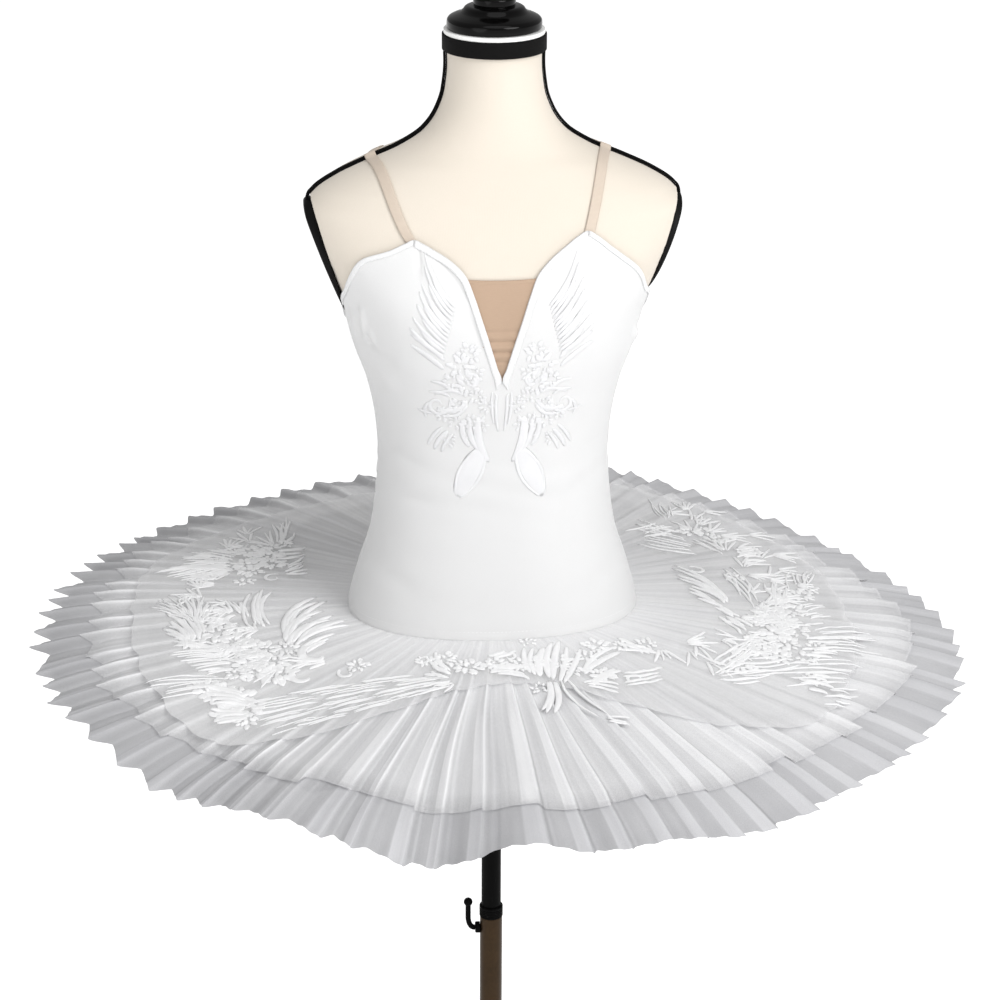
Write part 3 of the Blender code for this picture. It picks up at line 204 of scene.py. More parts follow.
def surface(name, blocks, facing=None, crisp=None):
    """One mesh from blocks of grids, each of points (count, rows, columns, 3), as (points, options).

    ring joins the last column to the first, loop the last row to the first. The UV map runs in metres
    along the grid. Arrays named tone and ply become attributes. facing is up, out or a vector; None
    means closed shapes, whose doubles are merged and whose faces are all turned outwards. Edges
    sharper than crisp, in degrees, are kept."""
    xyz, faces, uvs = [], [], []
    marks = {"tone": [], "ply": []}
    first = 0
    for points, options in blocks:
        points = np.asarray(points, float)
        if points.ndim == 3:
            points = points[None]
        count, rows, columns, _ = points.shape
        ring, loop = options.get("ring", False), options.get("loop", False)
        i = np.arange(rows if loop else rows - 1)[None, :, None]
        j = np.arange(columns if ring else columns - 1)[None, None, :]
        k = first + (np.arange(count) * rows * columns)[:, None, None]
        i2, j2 = (i + 1) % rows, (j + 1) % columns
        quads = np.stack(np.broadcast_arrays(
            k + i * columns + j, k + i * columns + j2, k + i2 * columns + j2, k + i2 * columns + j
        ), -1).reshape(-1, 4)
        wrapped = np.concatenate([points, points[:, :, :1]], 2) if ring else points
        wrapped = np.concatenate([wrapped, wrapped[:, :1]], 1) if loop else wrapped
        u, v = lengths_along(wrapped, 2), lengths_along(wrapped, 1)
        uv = np.stack(np.broadcast_arrays(
            np.stack([u[j], u[j + 1], u[j + 1], u[j]], -1) + 0 * k[..., None],
            np.stack([v[i], v[i], v[i + 1], v[i + 1]], -1),
        ), -1).reshape(-1, 4, 2)
        xyz.append(points.reshape(-1, 3))
        faces.append(quads)
        uvs.append(uv)
        for mark, kept in marks.items():
            kept.append(np.broadcast_to(options.get(mark, 1.0), points.shape[:-1]).ravel())
        first += count * rows * columns
    xyz, faces, uvs = np.concatenate(xyz), np.concatenate(faces), np.concatenate(uvs)
    if facing is not None:
        a, b, c = (xyz[faces[:, m]] for m in (0, 1, 2))
        normal = np.cross(b - a, c - a)
        if isinstance(facing, str):
            toward = (a * (1, 1, 0)) if facing == "out" else np.array([(0.0, 0.0, 1.0)])
        else:
            toward = np.array([facing], float)
        if (normal * toward).sum() < 0:
            faces, uvs = faces[:, ::-1], uvs[:, ::-1]
    mesh = bpy.data.meshes.new(name)
    mesh.from_pydata(xyz.tolist(), [], faces.tolist())
    mesh.uv_layers.new(name="UVMap").data.foreach_set("uv", uvs.reshape(-1))
    for mark, kept in marks.items():
        mesh.attributes.new(mark, "FLOAT", "POINT").data.foreach_set("value", np.concatenate(kept))
    if facing is None:
        form = bmesh.new()
        form.from_mesh(mesh)
        bmesh.ops.remove_doubles(form, verts=form.verts, dist=1e-6)
        bmesh.ops.recalc_face_normals(form, faces=form.faces)
        form.to_mesh(mesh)
        form.free()
    mesh.shade_smooth()
    if crisp:
        mesh.set_sharp_from_angle(angle=math.radians(crisp))
    obj = bpy.data.objects.new(name, mesh)
    bpy.context.scene.collection.objects.link(obj)
    return obj


def settle(obj, body, slot, finish, *nodes):
    """Gives a piece its body and material, and hides the CAD nodes that it stands for; slot is not used."""
    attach(obj, body)
    obj.data.materials.append(finish)
    if nodes:
        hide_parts(*nodes)
    return obj


def thicken(obj, thick):
    """A wall inwards from the surface."""
    solid = obj.modifiers.new("wall", "SOLIDIFY")
    solid.thickness = thick
    solid.offset = -1
    return obj


# ---------------------------------------------------------------- finishes
def rgb(red, green, blue):
    """A colour picked on a screen, as light."""
    c = np.array([red, green, blue]) / 255
    c = np.where(c <= 0.04045, c / 12.92, ((c + 0.055) / 1.055) ** 2.4)
    return (*map(float, c), 1.0)


class Finish:
    """A material under way: nodes are added in front of one Principled shader."""

    def __init__(self, name, **sockets):
        self.material = bpy.data.materials.new(name)
        self.material.use_nodes = True
        self.tree = self.material.node_tree
        self.shader = self.tree.nodes["Principled BSDF"]
        for key, value in sockets.items():
            self.shader.inputs[key.replace("_", " ")].default_value = value

    def node(self, kind, inputs=None, **settings):
        made = self.tree.nodes.new(f"ShaderNode{kind}")
        for key, value in settings.items():
            setattr(made, key, value)
        for key, value in (inputs or {}).items():
            if isinstance(value, bpy.types.NodeSocket):
                self.tree.links.new(value, made.inputs[key])
            else:
                made.inputs[key].default_value = value
        return made

    def place(self, space, scale=(1, 1, 1)):
        """Object or UV coordinates, scaled."""
        source = self.node("TexCoord").outputs[space]
        return self.node("Mapping", {"Vector": source, "Scale": scale}).outputs[0]

    def noise(self, vector, scale, detail=2.0, rough=0.5):
        return self.node("TexNoise", {"Vector": vector, "Scale": scale, "Detail": detail,
                                      "Roughness": rough}).outputs["Fac"]

    def bands(self, vector, scale, axis, distortion=0.0):
        return self.node("TexWave", {"Vector": vector, "Scale": scale, "Distortion": distortion},
                         bands_direction=axis).outputs["Fac"]

    def cells(self, vector, scale):
        return self.node("TexVoronoi", {"Vector": vector, "Scale": scale},
                         feature="DISTANCE_TO_EDGE").outputs["Distance"]

    def times(self, a, b):
        return self.node("Math", {0: a, 1: b}, operation="MULTIPLY").outputs[0]

    def total(self, *terms):
        """The sum of values, each alone or as (value, weight)."""
        sum_so_far = None
        for term in terms:
            value = self.times(*term) if isinstance(term, tuple) else term
            sum_so_far = value if sum_so_far is None else self.node(
                "Math", {0: sum_so_far, 1: value}, operation="ADD").outputs[0]
        return sum_so_far

    def span(self, value, low, high, to_low, to_high):
        """The range low to high brought to the range to_low to to_high."""
        return self.node("MapRange", {"Value": value, "From Min": low, "From Max": high,
                                      "To Min": to_low, "To Max": to_high}).outputs["Result"]

    def mix(self, factor, a, b, blend="MIX"):
        return self.node("Mix", {0: factor, 6: a, 7: b}, data_type="RGBA", blend_type=blend).outputs[2]

    def mark(self, name):
        return self.node("Attribute", attribute_name=name).outputs["Fac"]

    def toned(self, colour):
        """The colour times the tone attribute."""
        grey = self.node("CombineColor", {k: self.mark("tone") for k in (0, 1, 2)}).outputs[0]
        return self.mix(1.0, colour, grey, "MULTIPLY")

    def colour(self, value):
        self.tree.links.new(value, self.shader.inputs["Base Color"])

    def roughness(self, value):
        self.tree.links.new(value, self.shader.inputs["Roughness"])

    def bump(self, height, strength, distance):
        made = self.node("Bump", {"Height": height, "Strength": strength, "Distance": distance})
        self.tree.links.new(made.outputs[0], self.shader.inputs["Normal"])


def woven(name, light, dark, thread, rough, strength=0.35, **sockets):
    """Plain weave: two sets of threads in metres along the cloth, uneven threads and slow shading."""
    made = Finish(name, Roughness=rough, **sockets)
    cloth = made.place("UV")
    warp, weft = (made.bands(cloth, 1 / (thread * 3.1), axis) for axis in "XY")
    threads = made.times(warp, weft)
    uneven = made.noise(made.place("UV", (240, 1400, 1)), 1.0)
    slow = made.noise(made.place("Object"), 9.0, 3.0)
    share = made.total((threads, 0.30), (uneven, 0.35), (slow, 0.45))
    made.colour(made.toned(made.mix(share, dark, light)))
    made.roughness(made.span(uneven, 0.2, 0.8, rough - 0.05, rough + 0.07))
    made.bump(made.total(threads, (uneven, 0.5)), strength, 0.00025)
    return made.material


def knit(name, light, dark, pitch, **sockets):
    """Jersey: wales crossed by courses of stitches, with faint pilling and slow shading."""
    made = Finish(name, **sockets)
    cloth = made.place("UV")
    wale = made.bands(cloth, 1 / (pitch * 3.1), "X", 0.6)
    course = made.bands(cloth, 1 / (pitch * 2.4), "Y", 1.2)
    loops = made.times(wale, course)
    fuzz = made.noise(made.place("Object"), 900, 3.0)
    slow = made.noise(made.place("Object"), 7, 3.0)
    share = made.total((loops, 0.25), (fuzz, 0.4), (slow, 0.5))
    made.colour(made.toned(made.mix(share, dark, light)))
    made.bump(made.total(loops, fuzz), 0.25, 0.0003)
    return made.material


def netting(name, light, dark, open_ply, thick_ply, mesh=0.0011):
    """Tulle: fine cells, and soft creases from hip to hem; its cover grows with the ply attribute."""
    made = Finish(name, Roughness=0.7, Specular_IOR_Level=0.2)
    net = made.cells(made.place("Object"), 1 / mesh)
    thread = made.span(net, 0.04, 0.26, 1.0, 0.0)
    slow = made.noise(made.place("Object"), 24, 4.0, 0.6)
    crease = made.noise(made.place("UV", (110, 2.4, 1)), 1.0, 3.0, 0.6)
    wide = made.noise(made.place("UV", (36, 1.6, 1)), 1.0)
    share = made.total((thread, 0.22), (slow, 0.30), made.span(crease, 0.30, 0.70, 0.0, 0.34),
                       made.span(wide, 0.35, 0.65, -0.12, 0.22))
    made.colour(made.toned(made.mix(share, dark, light)))
    ply = made.span(made.mark("ply"), 0.0, 1.0, open_ply, thick_ply)
    solid = made.total((thread, 0.12), made.span(crease, 0.3, 0.7, -0.10, 0.04))
    alpha = made.node("Math", {0: ply, 1: solid}, operation="ADD", use_clamp=True).outputs[0]
    made.tree.links.new(alpha, made.shader.inputs["Alpha"])
    made.bump(made.total((thread, 0.3), (crease, 2.0)), 0.25, 0.0006)
    return made.material


def embroidery(name, light, dark):
    """Satin stitch: fine threads laid across each strand, bright on their crowns."""
    made = Finish(name, Roughness=0.45, Sheen_Weight=0.3, Sheen_Roughness=0.35)
    thread = made.bands(made.place("UV"), 520, "Y", 1.5)
    slow = made.noise(made.place("Object"), 60, 3.0)
    share = made.total((thread, 0.45), (slow, 0.6))
    made.colour(made.toned(made.mix(share, dark, light)))
    made.bump(thread, 0.4, 0.0003)
    return made.material


def ribbed(name, light, dark, rib, **sockets):
    """Elastic tape: ribs along its length crossed by a fine zigzag."""
    made = Finish(name, **sockets)
    cloth = made.place("UV")
    ribs = made.bands(cloth, 1 / (rib * 3.1), "Y")
    zigzag = made.bands(cloth, 420, "X", 3.0)
    slow = made.noise(made.place("Object"), 30, 3.0)
    share = made.total((ribs, 0.45), (slow, 0.5), (zigzag, 0.12))
    made.colour(made.toned(made.mix(share, dark, light)))
    made.bump(made.total(ribs, (zigzag, 0.4)), 0.5, 0.0004)
    return made.material


def painted(name, light, dark, rough, grain=420, spread=0.10, strength=0.12, depth=0.0002, **sockets):
    """Paint, lacquer or metal: fine grain, slow mottling, and a roughness that varies with both."""
    made = Finish(name, Roughness=rough, **sockets)
    fine = made.noise(made.place("Object"), grain, 3.0)
    slow = made.noise(made.place("Object"), 34, 4.0, 0.6)
    made.colour(made.mix(made.total((fine, 0.4), (slow, 0.6)), dark, light))
    made.roughness(made.span(slow, 0.25, 0.75, rough - spread, rough + spread))
    made.bump(fine, strength, depth)
    return made.material


JERSEY = knit("cream_jersey", rgb(225, 216, 205), rgb(213, 204, 189), 0.0011,
              Roughness=0.8, Sheen_Weight=0.2, Sheen_Roughness=0.5)
SATIN = woven("white_stretch_satin", rgb(229, 229, 229), rgb(217, 217, 217), 0.00045, 0.52,
              Sheen_Weight=0.3, Sheen_Roughness=0.35)
BINDING = woven("white_bias_binding", rgb(236, 236, 236), rgb(225, 225, 226), 0.0006, 0.48, 0.5,
                Sheen_Weight=0.3)
NUDE = woven("nude_power_mesh", rgb(190, 164, 141), rgb(169, 142, 119), 0.0008, 0.62, 0.5,
             Sheen_Weight=0.15)
CORD = woven("black_bias_cord", rgb(17, 16, 16), rgb(6, 6, 6), 0.0006, 0.75, 0.6,
             Specular_IOR_Level=0.12)
ELASTIC = ribbed("beige_elastic", rgb(216, 202, 187), rgb(195, 179, 162), 0.0013,
                 Roughness=0.6, Sheen_Weight=0.15)
# Greyer than the top layer's tulle: painted shade on the layers that lie beneath it.
TULLE_LONG_SHADED = netting("tulle_long_shaded", rgb(198, 198, 200), rgb(174, 174, 177), 0.84, 0.98)
TULLE_SHORT = netting("tulle_top", rgb(241, 241, 242), rgb(224, 224, 226), 0.40, 0.94)
VEIL = netting("veil_net", rgb(244, 244, 244), rgb(232, 232, 234), 0.34, 0.86, 0.0009)
LACE = embroidery("white_satin_stitch", rgb(254, 254, 254), rgb(232, 232, 234))
SOFT_LACE = embroidery("white_padded_stitch", rgb(236, 236, 237), rgb(217, 217, 219))
THREAD = painted("white_thread", rgb(250, 250, 250), rgb(232, 232, 234), 0.5)
PLATE = painted("black_plate", rgb(14, 13, 13), rgb(5, 5, 5), 0.5, 900, Specular_IOR_Level=0.12)
LACQUER = painted("black_lacquer", rgb(9, 8, 8), rgb(3, 3, 3), 0.14, 160, 0.05, 0.04,
                  Specular_IOR_Level=0.12, Coat_Weight=0.05, Coat_Roughness=0.05)
IVORY = painted("white_enamel", rgb(250, 250, 249), rgb(238, 238, 236), 0.25, 300, 0.05, 0.05)
POWDER = painted("black_powder_coat", rgb(8, 8, 8), rgb(3, 3, 3), 0.5, 1500, 0.08, 0.3, 0.0003,
                 Specular_IOR_Level=0.04)
BRONZE = painted("bronze_tube", rgb(66, 50, 32), rgb(34, 24, 14), 0.36, 240, 0.08, 0.06,
                 Metallic=0.6, Specular_IOR_Level=0.2)
STEEL = painted("bright_steel", rgb(200, 200, 202), rgb(160, 160, 164), 0.25, 700, 0.06, 0.05,
                Metallic=1.0)


# ---------------------------------------------------------------- stitches, cords and strands
def run_of(path):
    """Distance run along a polyline at each of its points."""
    return np.concatenate([[0.0], np.cumsum(np.linalg.norm(np.diff(path, axis=0), axis=1))])


def points_at(at, run, path):
    """Points of a polyline at given distances along it."""
    return np.stack([np.interp(at, run, column) for column in path.T], -1)


def along_path(path, pitch):
    """Points every pitch along a polyline, with the direction there; the path's ends are left free."""
    run = run_of(path)
    at = np.arange(pitch / 2, run[-1], pitch)
    way = points_at(at + pitch / 4, run, path) - points_at(at - pitch / 4, run, path)
    return points_at(at, run, path), way / np.linalg.norm(way, axis=1, keepdims=True)


def stitch_block(path, pitch=0.0034, long=0.0023, thick=0.00032):
    """Thread capsules laid end to end on a path: each is a five sided spindle that dips at its ends."""
    places, way = along_path(path, pitch)
    out = straight_out(places)
    side = np.cross(way, out)
    t = np.array([-1.0, -0.8, 0.0, 0.8, 1.0])
    turn = np.arange(5) * 2 * math.pi / 5
    radius = thick * np.sqrt(np.clip(1 - t**4, 0, 1))
    lift = thick * (0.6 - 1.1 * t**4)
    points = places[:, None, None] + way[:, None, None] * (t * long / 2)[None, :, None, None]
    points = points + out[:, None, None] * (lift[:, None] + radius[:, None] * np.cos(turn))[None, ..., None]
    points = points + side[:, None, None] * (radius[:, None] * np.sin(turn))[None, ..., None]
    return points, dict(ring=True)


def straight_out(places):
    """Level, away from the upright axis."""
    out = places * (1, 1, 0)
    return out / np.linalg.norm(out, axis=-1, keepdims=True)


def strand_block(spines, half, rise, seat, section, groove=0.0):
    """Raised strands: a half round section of given half width and rise carried along each flat spine.

    spines are (count, rows, 2) in the flat coordinates of a surface; seat(u, v, h) lifts them onto it.
    groove presses the crown in along the middle, and the pointed ends sink below the surface."""
    way = np.gradient(spines, axis=1)
    way /= np.maximum(np.linalg.norm(way, axis=-1, keepdims=True), 1e-9)
    side = np.stack([-way[..., 1], way[..., 0]], -1)
    turn = np.linspace(0, math.pi, section)
    across, height = np.cos(turn), np.sin(turn)
    height = height * (1 - groove * bell(across, 0.35))
    across, height = np.append(across, 0.0), np.append(height, 0.0)
    flat = spines[:, :, None] + side[:, :, None] * (half[..., None] * across)[..., None]
    lifted = rise[..., None] * height - STRAND_SINK * (np.arange(section + 1) == section)
    lifted = np.where(half[..., None] > 1e-6, lifted, -2 * STRAND_SINK)
    return seat(flat[..., 0], flat[..., 1], lifted), dict(ring=True)


def tapered(rows, blunt):
    """Width along a strand: 0 at both ends, full in the middle, sin(pi t)^blunt."""
    return np.sin(math.pi * np.linspace(0, 1, rows)) ** blunt


def eased(profile, radius):
    """A profile with each corner rounded: the corner is replaced by a quadratic arc of a few points."""
    points = np.asarray(profile, float)
    made = [points[:1]]
    for before, here, after in zip(points[:-2], points[1:-1], points[2:]):
        a, b = before - here, after - here
        la, lb = np.linalg.norm(a), np.linalg.norm(b)
        r = min(radius, la * 0.45, lb * 0.45)
        start, end = here + a / la * r, here + b / lb * r
        t = np.linspace(0, 1, 4)[:, None]
        made.append(start * (1 - t) ** 2 + here * 2 * t * (1 - t) + end * t**2)
    made.append(points[-1:])
    return np.concatenate(made)


def full_turn(steps):
    """Angles of a whole turn, in even steps."""
    return np.arange(steps) * 2 * math.pi / steps


def turned(name, profile, steps=64, hollow=False, radius=0.0008, crisp=38):
    """A profile of (radius, height), its corners eased, turned about the upright axis."""
    profile, turn = eased(profile, radius), full_turn(steps)
    r, z = profile[:, :1], profile[:, 1:]
    points = np.stack(np.broadcast_arrays(r * np.cos(turn), r * np.sin(turn), z), -1)
    return surface(name, [(points, dict(ring=True, loop=hollow))], crisp=crisp)


def rod_block(path, radius, sides):
    """A round section carried along a path, turned to stay square to it; ends closed to a point."""
    path = np.concatenate([path[:1], path, path[-1:]])
    radius = np.concatenate([[0.0], np.full(len(path) - 2, radius), [0.0]])
    way = np.gradient(path, axis=0)
    way[0], way[-1] = way[2], way[-3]
    way /= np.linalg.norm(way, axis=1, keepdims=True)
    side = np.cross(way, (0.0, 1.0, 0.0))
    side /= np.linalg.norm(side, axis=1, keepdims=True)
    over = np.cross(side, way)
    turn = full_turn(sides)
    ring = side[:, None] * np.cos(turn)[:, None] + over[:, None] * np.sin(turn)[:, None]
    return path[:, None] + ring * radius[:, None, None], dict(ring=True)


# ---------------------------------------------------------------- the dress form
def dress_form():
    """The torso's surface, closed at both ends; |x| stays within each armhole's slanting plane."""
    columns = 232
    alpha = (np.arange(columns) + 0.5) * 2 * math.pi / columns
    z = np.concatenate([
        np.linspace(low, high, rows) for low, high, rows in (
            (FORM_BOTTOM, 0.842, 12), (0.848, 1.178, 30), (1.184, 1.400, 100), (1.403, 1.470, 40),
            (1.474, NECK_TOP, 14))
    ])
    points = torso(alpha[None, :], z[:, None])
    (top_x, top_z), (foot_x, foot_z) = ARMHOLE_TOP, ARMHOLE_FOOT
    plane = foot_x + (z - foot_z) * (top_x - foot_x) / (top_z - foot_z)
    plane = np.where(z > 1.190, plane, 1.0)[:, None]
    points[..., 0] = np.clip(points[..., 0], -plane, plane)
    middle = np.zeros((1, len(alpha), 3))
    points = np.concatenate([middle + (0, 0, z[0]), points, middle + (0, 0, z[-1])])
    obj = surface("form_jersey_cover", [(points, dict(ring=True))], crisp=16)
    return settle(obj, "figure", "jersey", JERSEY, "form_body")


def armhole_axes(sign):
    """Middle of the armhole's face, and its directions out, along Y and up."""
    (top_x, top_z), (foot_x, foot_z) = ARMHOLE_TOP, ARMHOLE_FOOT
    up = np.array([sign * (top_x - foot_x), 0, top_z - foot_z])
    up /= np.linalg.norm(up)
    side = np.array([0, sign, 0.0])
    middle = np.array([sign * (top_x + foot_x) / 2, 0.004, (top_z + foot_z) / 2])
    return middle, np.cross(side, up), side, up


# Half length, shift up along the armhole, and thickness at foot and top as shares of the plate's own.
ARM_PLATES = {"left": (0.0630, -0.0070, 0.30, 1.75), "right": (0.0525, 0.0035, 0.28, 1.50)}


def arm_plates():
    """Oval plates, domed a little, with a groove near the rim and one screw in the middle."""
    turn, half_wide = full_turn(96), 0.041
    # From the middle to the rim and under it: share of the radius, and height in tenths of a millimetre.
    share = np.array([0.0, 0.30, 0.60, 0.84, 0.86, 0.88, 0.90, 0.965, 0.99, 1.0, 1.0, 0.985, 0.0])
    depth = np.array([72, 72, 71, 69, 64, 64, 68, 65, 58, 48, 12, 3, 3]) * 1e-4
    head = np.array([0.0, 0.0018, 0.0021, 0.0028, 0.0052, 0.0058, 0.0058])
    level = np.array([70, 70, 79, 82, 80, 76, 71]) * 1e-4
    for name, sign in SIDES.items():
        middle, out, side, up = armhole_axes(sign)
        long, lift_up, thin, thick = ARM_PLATES[name]
        middle = middle + up * lift_up
        # The plate is a wedge: thin at its foot, thick under the shoulder point, rounded at its top end.
        high = share[:, None] * np.sin(turn)
        wedge = thin + (thick - thin) * (high + 1) / 2
        wedge = wedge * np.sqrt(1 - 0.50 * np.clip((high - 0.70) / 0.30, 0, 1) ** 2)
        points = (middle + out * (depth[:, None] * wedge)[..., None]
                  + side * (share[:, None] * half_wide * np.cos(turn))[..., None]
                  + up * (long * high)[..., None])
        settle(surface(f"armhole_plate_{name}", [(points, dict(ring=True))], crisp=32),
               "figure", "black_trim", PLATE, f"arm_plate_{name}")
        middle = middle + out * 0.0070 * ((thin + thick) / 2 - 1)
        turned_head = (middle + out * level[:, None, None]
                       + side * (head[:, None] * np.cos(turn[::4]))[..., None]
                       + up * (head[:, None] * np.sin(turn[::4]))[..., None])
        closing = (middle + out * 0.0070) + np.zeros((1, 24, 3))
        settle(surface(f"armhole_screw_{name}", [(np.concatenate([turned_head, closing]), dict(ring=True))],
                       crisp=30), "figure", "black_trim", STEEL)


def shoulder_piping():
    """A covered cord over each shoulder, along the crest of the torso at y = 0, on a narrow flange."""
    z = np.concatenate([np.linspace(1.3835, 1.470, 60), np.linspace(1.473, 1.5215, 20)])
    slope = np.gradient(half_width_at(z), z)
    # The flange's section: distance to the back and drop below the cord's middle.
    flange_y, flange_drop = (-0.0034, -0.0009, 0.0009, 0.0034), (0.0020, 0.0014, 0.0014, 0.0020)
    for name, sign in SIDES.items():
        out = np.stack([np.ones_like(z), 0 * z, -slope], -1)
        out /= np.linalg.norm(out, axis=1, keepdims=True)
        path = (np.stack([half_width_at(z), 0 * z, z], -1) + out * PIPING_LIFT) * (sign, 1, 1)
        # Its lower end turns over the shoulder point and lies on the arm plate's rim.
        middle, across, _, up = armhole_axes(sign)
        start = middle * (1, 0, 1) + up * 0.0440 + across * 0.0072
        corner = start + up * 0.0140 - across * 0.0010
        t = np.linspace(0, 1, 9)[:-1, None]
        path = np.concatenate([start * (1 - t) ** 2 + corner * 2 * t * (1 - t) + path[0] * t**2, path])
        out = np.concatenate([np.stack([across] * len(t)), out * (sign, 1, 1)])
        flange = np.stack([path + (0, y, 0) for y in flange_y], 1)
        drop = np.array(flange_drop)[None, :, None] * out[:, None]
        flange = np.concatenate([flange - drop, (flange - drop * 1.18)[:, ::-1]], 1)
        cord = rod_block(path, PIPING_RADIUS, 14)
        obj = surface(f"shoulder_cord_{name}", [cord, (flange, dict(ring=True))])
        settle(obj, "figure", "black_trim", CORD, f"shoulder_piping_{name}")


def neck_fittings():
    """The neck's band, its white ring and the turned cap with its knob."""
    band = [(0.0482, 1.5392), (0.0509, 1.5392), (0.0509, 1.5235), (0.0482, 1.5235)]
    settle(turned("neck_tape", band, 128, True), "figure", "black_trim", CORD, "neck_band")
    ring = [(0, 1.5436), (0.0494, 1.5436), (0.0494, 1.5395), (0, 1.5395)]
    settle(turned("neck_collar_ring", ring, 128), "figure", "white_gloss", IVORY, "neck_ring")
    foot = 1.5439
    cap = np.array([
        (0, 0.0660), (0.0050, 0.0656), (0.0110, 0.0638), (0.0165, 0.0604), (0.0205, 0.0560),
        (0.0222, 0.0505), (0.0212, 0.0455), (0.0180, 0.0405), (0.0142, 0.0370), (0.0130, 0.0345),
        (0.0142, 0.0322), (0.0150, 0.0312), (0.0200, 0.0304), (0.0207, 0.0290), (0.0207, 0.0235),
        (0.0200, 0.0226), (0.0262, 0.0220), (0.0290, 0.0205), (0.0306, 0.0180), (0.0330, 0.0158),
        (0.0390, 0.0135), (0.0440, 0.0112), (0.0461, 0.0088), (0.0464, 0.0060), (0.0464, 0.0016),
        (0.0450, 0.0), (0, 0.0),
    ]) + (0, foot)
    settle(turned("neck_cap_turned", cap, 88, radius=0.0014, crisp=50),
           "figure", "black_gloss", LACQUER, "neck_cap")


# ---------------------------------------------------------------- the bodice
front_angles = np.degrees(angle_of(FRONT_EDGE[:, 0], FRONT_EDGE[:, 1], BODICE_OUTSIDE))
top_edge_at = smooth(np.concatenate([front_angles, BACK_EDGE[:, 0]]),
                     np.concatenate([FRONT_EDGE[:, 1], BACK_EDGE[:, 1]]))
PEAK_ANGLE = float(front_angles[PEAK])

# How the worn edge differs from the even one: place in degrees, width, rise. The left peak hangs a little.
EDGE_SHIFTS = [
    (-24, 9, -0.0054), (-47, 11, 0.0125), (-61, 8, 0.0070), (-71, 7, 0.0036), (-92, 12, -0.0160),
    (50, 12, 0.0050), (70, 8, 0.0036), (91, 12, -0.0140),
]


def edge_shift(degrees):
    """Sum of rise exp(-((degrees - place) / width)^2)."""
    return sum(rise * bell(degrees - place, width) for place, width, rise in EDGE_SHIFTS)


def top_edge(degrees):
    """Upper edge by signed degrees from the front's middle."""
    degrees = (degrees + 180) % 360 - 180
    return top_edge_at(np.abs(degrees)) + edge_shift(degrees)


# Creases of the front: from x, z to x, z, half width, depth. A minus depth is a raised fold.
FRONT_CREASES = np.array([
    (-0.1392, 1.284, -0.1345, 1.253, 0.0026, 0.0026), (-0.1340, 1.282, -0.1300, 1.250, 0.0026, -0.0034),
    (-0.1425, 1.276, -0.1395, 1.250, 0.0030, -0.0024), (-0.1275, 1.254, -0.1255, 1.243, 0.0022, 0.0026),
    (-0.1270, 1.262, -0.1220, 1.238, 0.0028, -0.0024), (-0.1250, 1.247, -0.1210, 1.238, 0.0024, 0.0028),
    (-0.1280, 1.238, -0.1020, 1.219, 0.0100, 0.0026), (-0.1180, 1.214, -0.0990, 1.196, 0.0070, -0.0014),
    (0.1415, 1.250, 0.1400, 1.236, 0.0026, 0.0026), (0.1375, 1.252, 0.1360, 1.234, 0.0030, -0.0046),
    (0.1060, 1.190, 0.1130, 1.176, 0.0045, 0.0012), (-0.0800, 1.356, -0.0785, 1.312, 0.0016, 0.0014),
    (-0.0765, 1.350, -0.0690, 1.318, 0.0022, -0.0009), (0.0810, 1.352, 0.0780, 1.320, 0.0018, 0.0008),
    (-0.0620, 1.342, -0.0300, 1.298, 0.0036, 0.0018), (-0.0350, 1.292, -0.0180, 1.250, 0.0030, 0.0012),
    (0.0560, 1.330, 0.0290, 1.292, 0.0034, 0.0010), (-0.1130, 1.130, -0.0760, 1.118, 0.0070, 0.0012),
    (0.1110, 1.108, 0.0740, 1.096, 0.0070, 0.0010), (-0.1120, 1.088, -0.0640, 1.080, 0.0080, 0.0010),
    (0.1120, 1.140, 0.0840, 1.132, 0.0060, 0.0009), (-0.1290, 1.010, -0.0820, 0.986, 0.0100, 0.0012),
    (0.1300, 1.008, 0.0850, 0.982, 0.0100, 0.0010),
])


def creased(x, z):
    """Sum of troughs of depth exp(-(d / width)^2), d being the distance to a crease. Their ends fade."""
    a, b = FRONT_CREASES[:, 0:2], FRONT_CREASES[:, 2:4]
    width, depth = FRONT_CREASES[:, 4], FRONT_CREASES[:, 5]
    way = b - a
    px = np.stack([x, z], -1)[..., None, :]
    t = np.clip(((px - a) * way).sum(-1) / (way**2).sum(-1), 0, 1)
    d = np.linalg.norm(px - a - way * t[..., None], axis=-1)
    fade = 0.35 + 0.65 * np.sin(math.pi * np.clip(t, 0.0, 1.0))
    return -(depth * fade * bell(d, width)).sum(-1)


def seam_tuck(z):
    """A roll over the hip seam with a thin groove above it, where the skirt is sewn on."""
    return 0.0003 * bell(z - HIP_SEAM - 0.0020, 0.0024) - 0.0002 * bell(z - HIP_SEAM - 0.0072, 0.0012)


def bodice_front_out(alpha, z):
    """How far the front's outer side stands off the form: its wall, soft creases and the hip seam's tuck."""
    flat = torso(alpha, z, BODICE_OUTSIDE)
    out = BODICE_OUTSIDE + creased(flat[..., 0], flat[..., 2])
    out += 0.0003 * np.sin(z * 210 + 3 * np.sin(alpha * 3)) * bell(z - 1.100, 0.035)
    return out + seam_tuck(z)


def bodice_wall(name, degrees, rows, out_at, node):
    """A wall from the hip seam up to the top edge, over the given degrees; out_at gives its outer side."""
    z = BODICE_FOOT + (top_edge(degrees) - BODICE_FOOT) * np.linspace(0, 1, rows)[:, None]
    alpha = np.radians(degrees) + 0 * z
    obj = surface(name, [(torso(alpha, z, out_at(alpha, z)), {})], facing="out")
    thicken(obj, CLOTH)
    return settle(obj, "figure", "satin", SATIN, node)


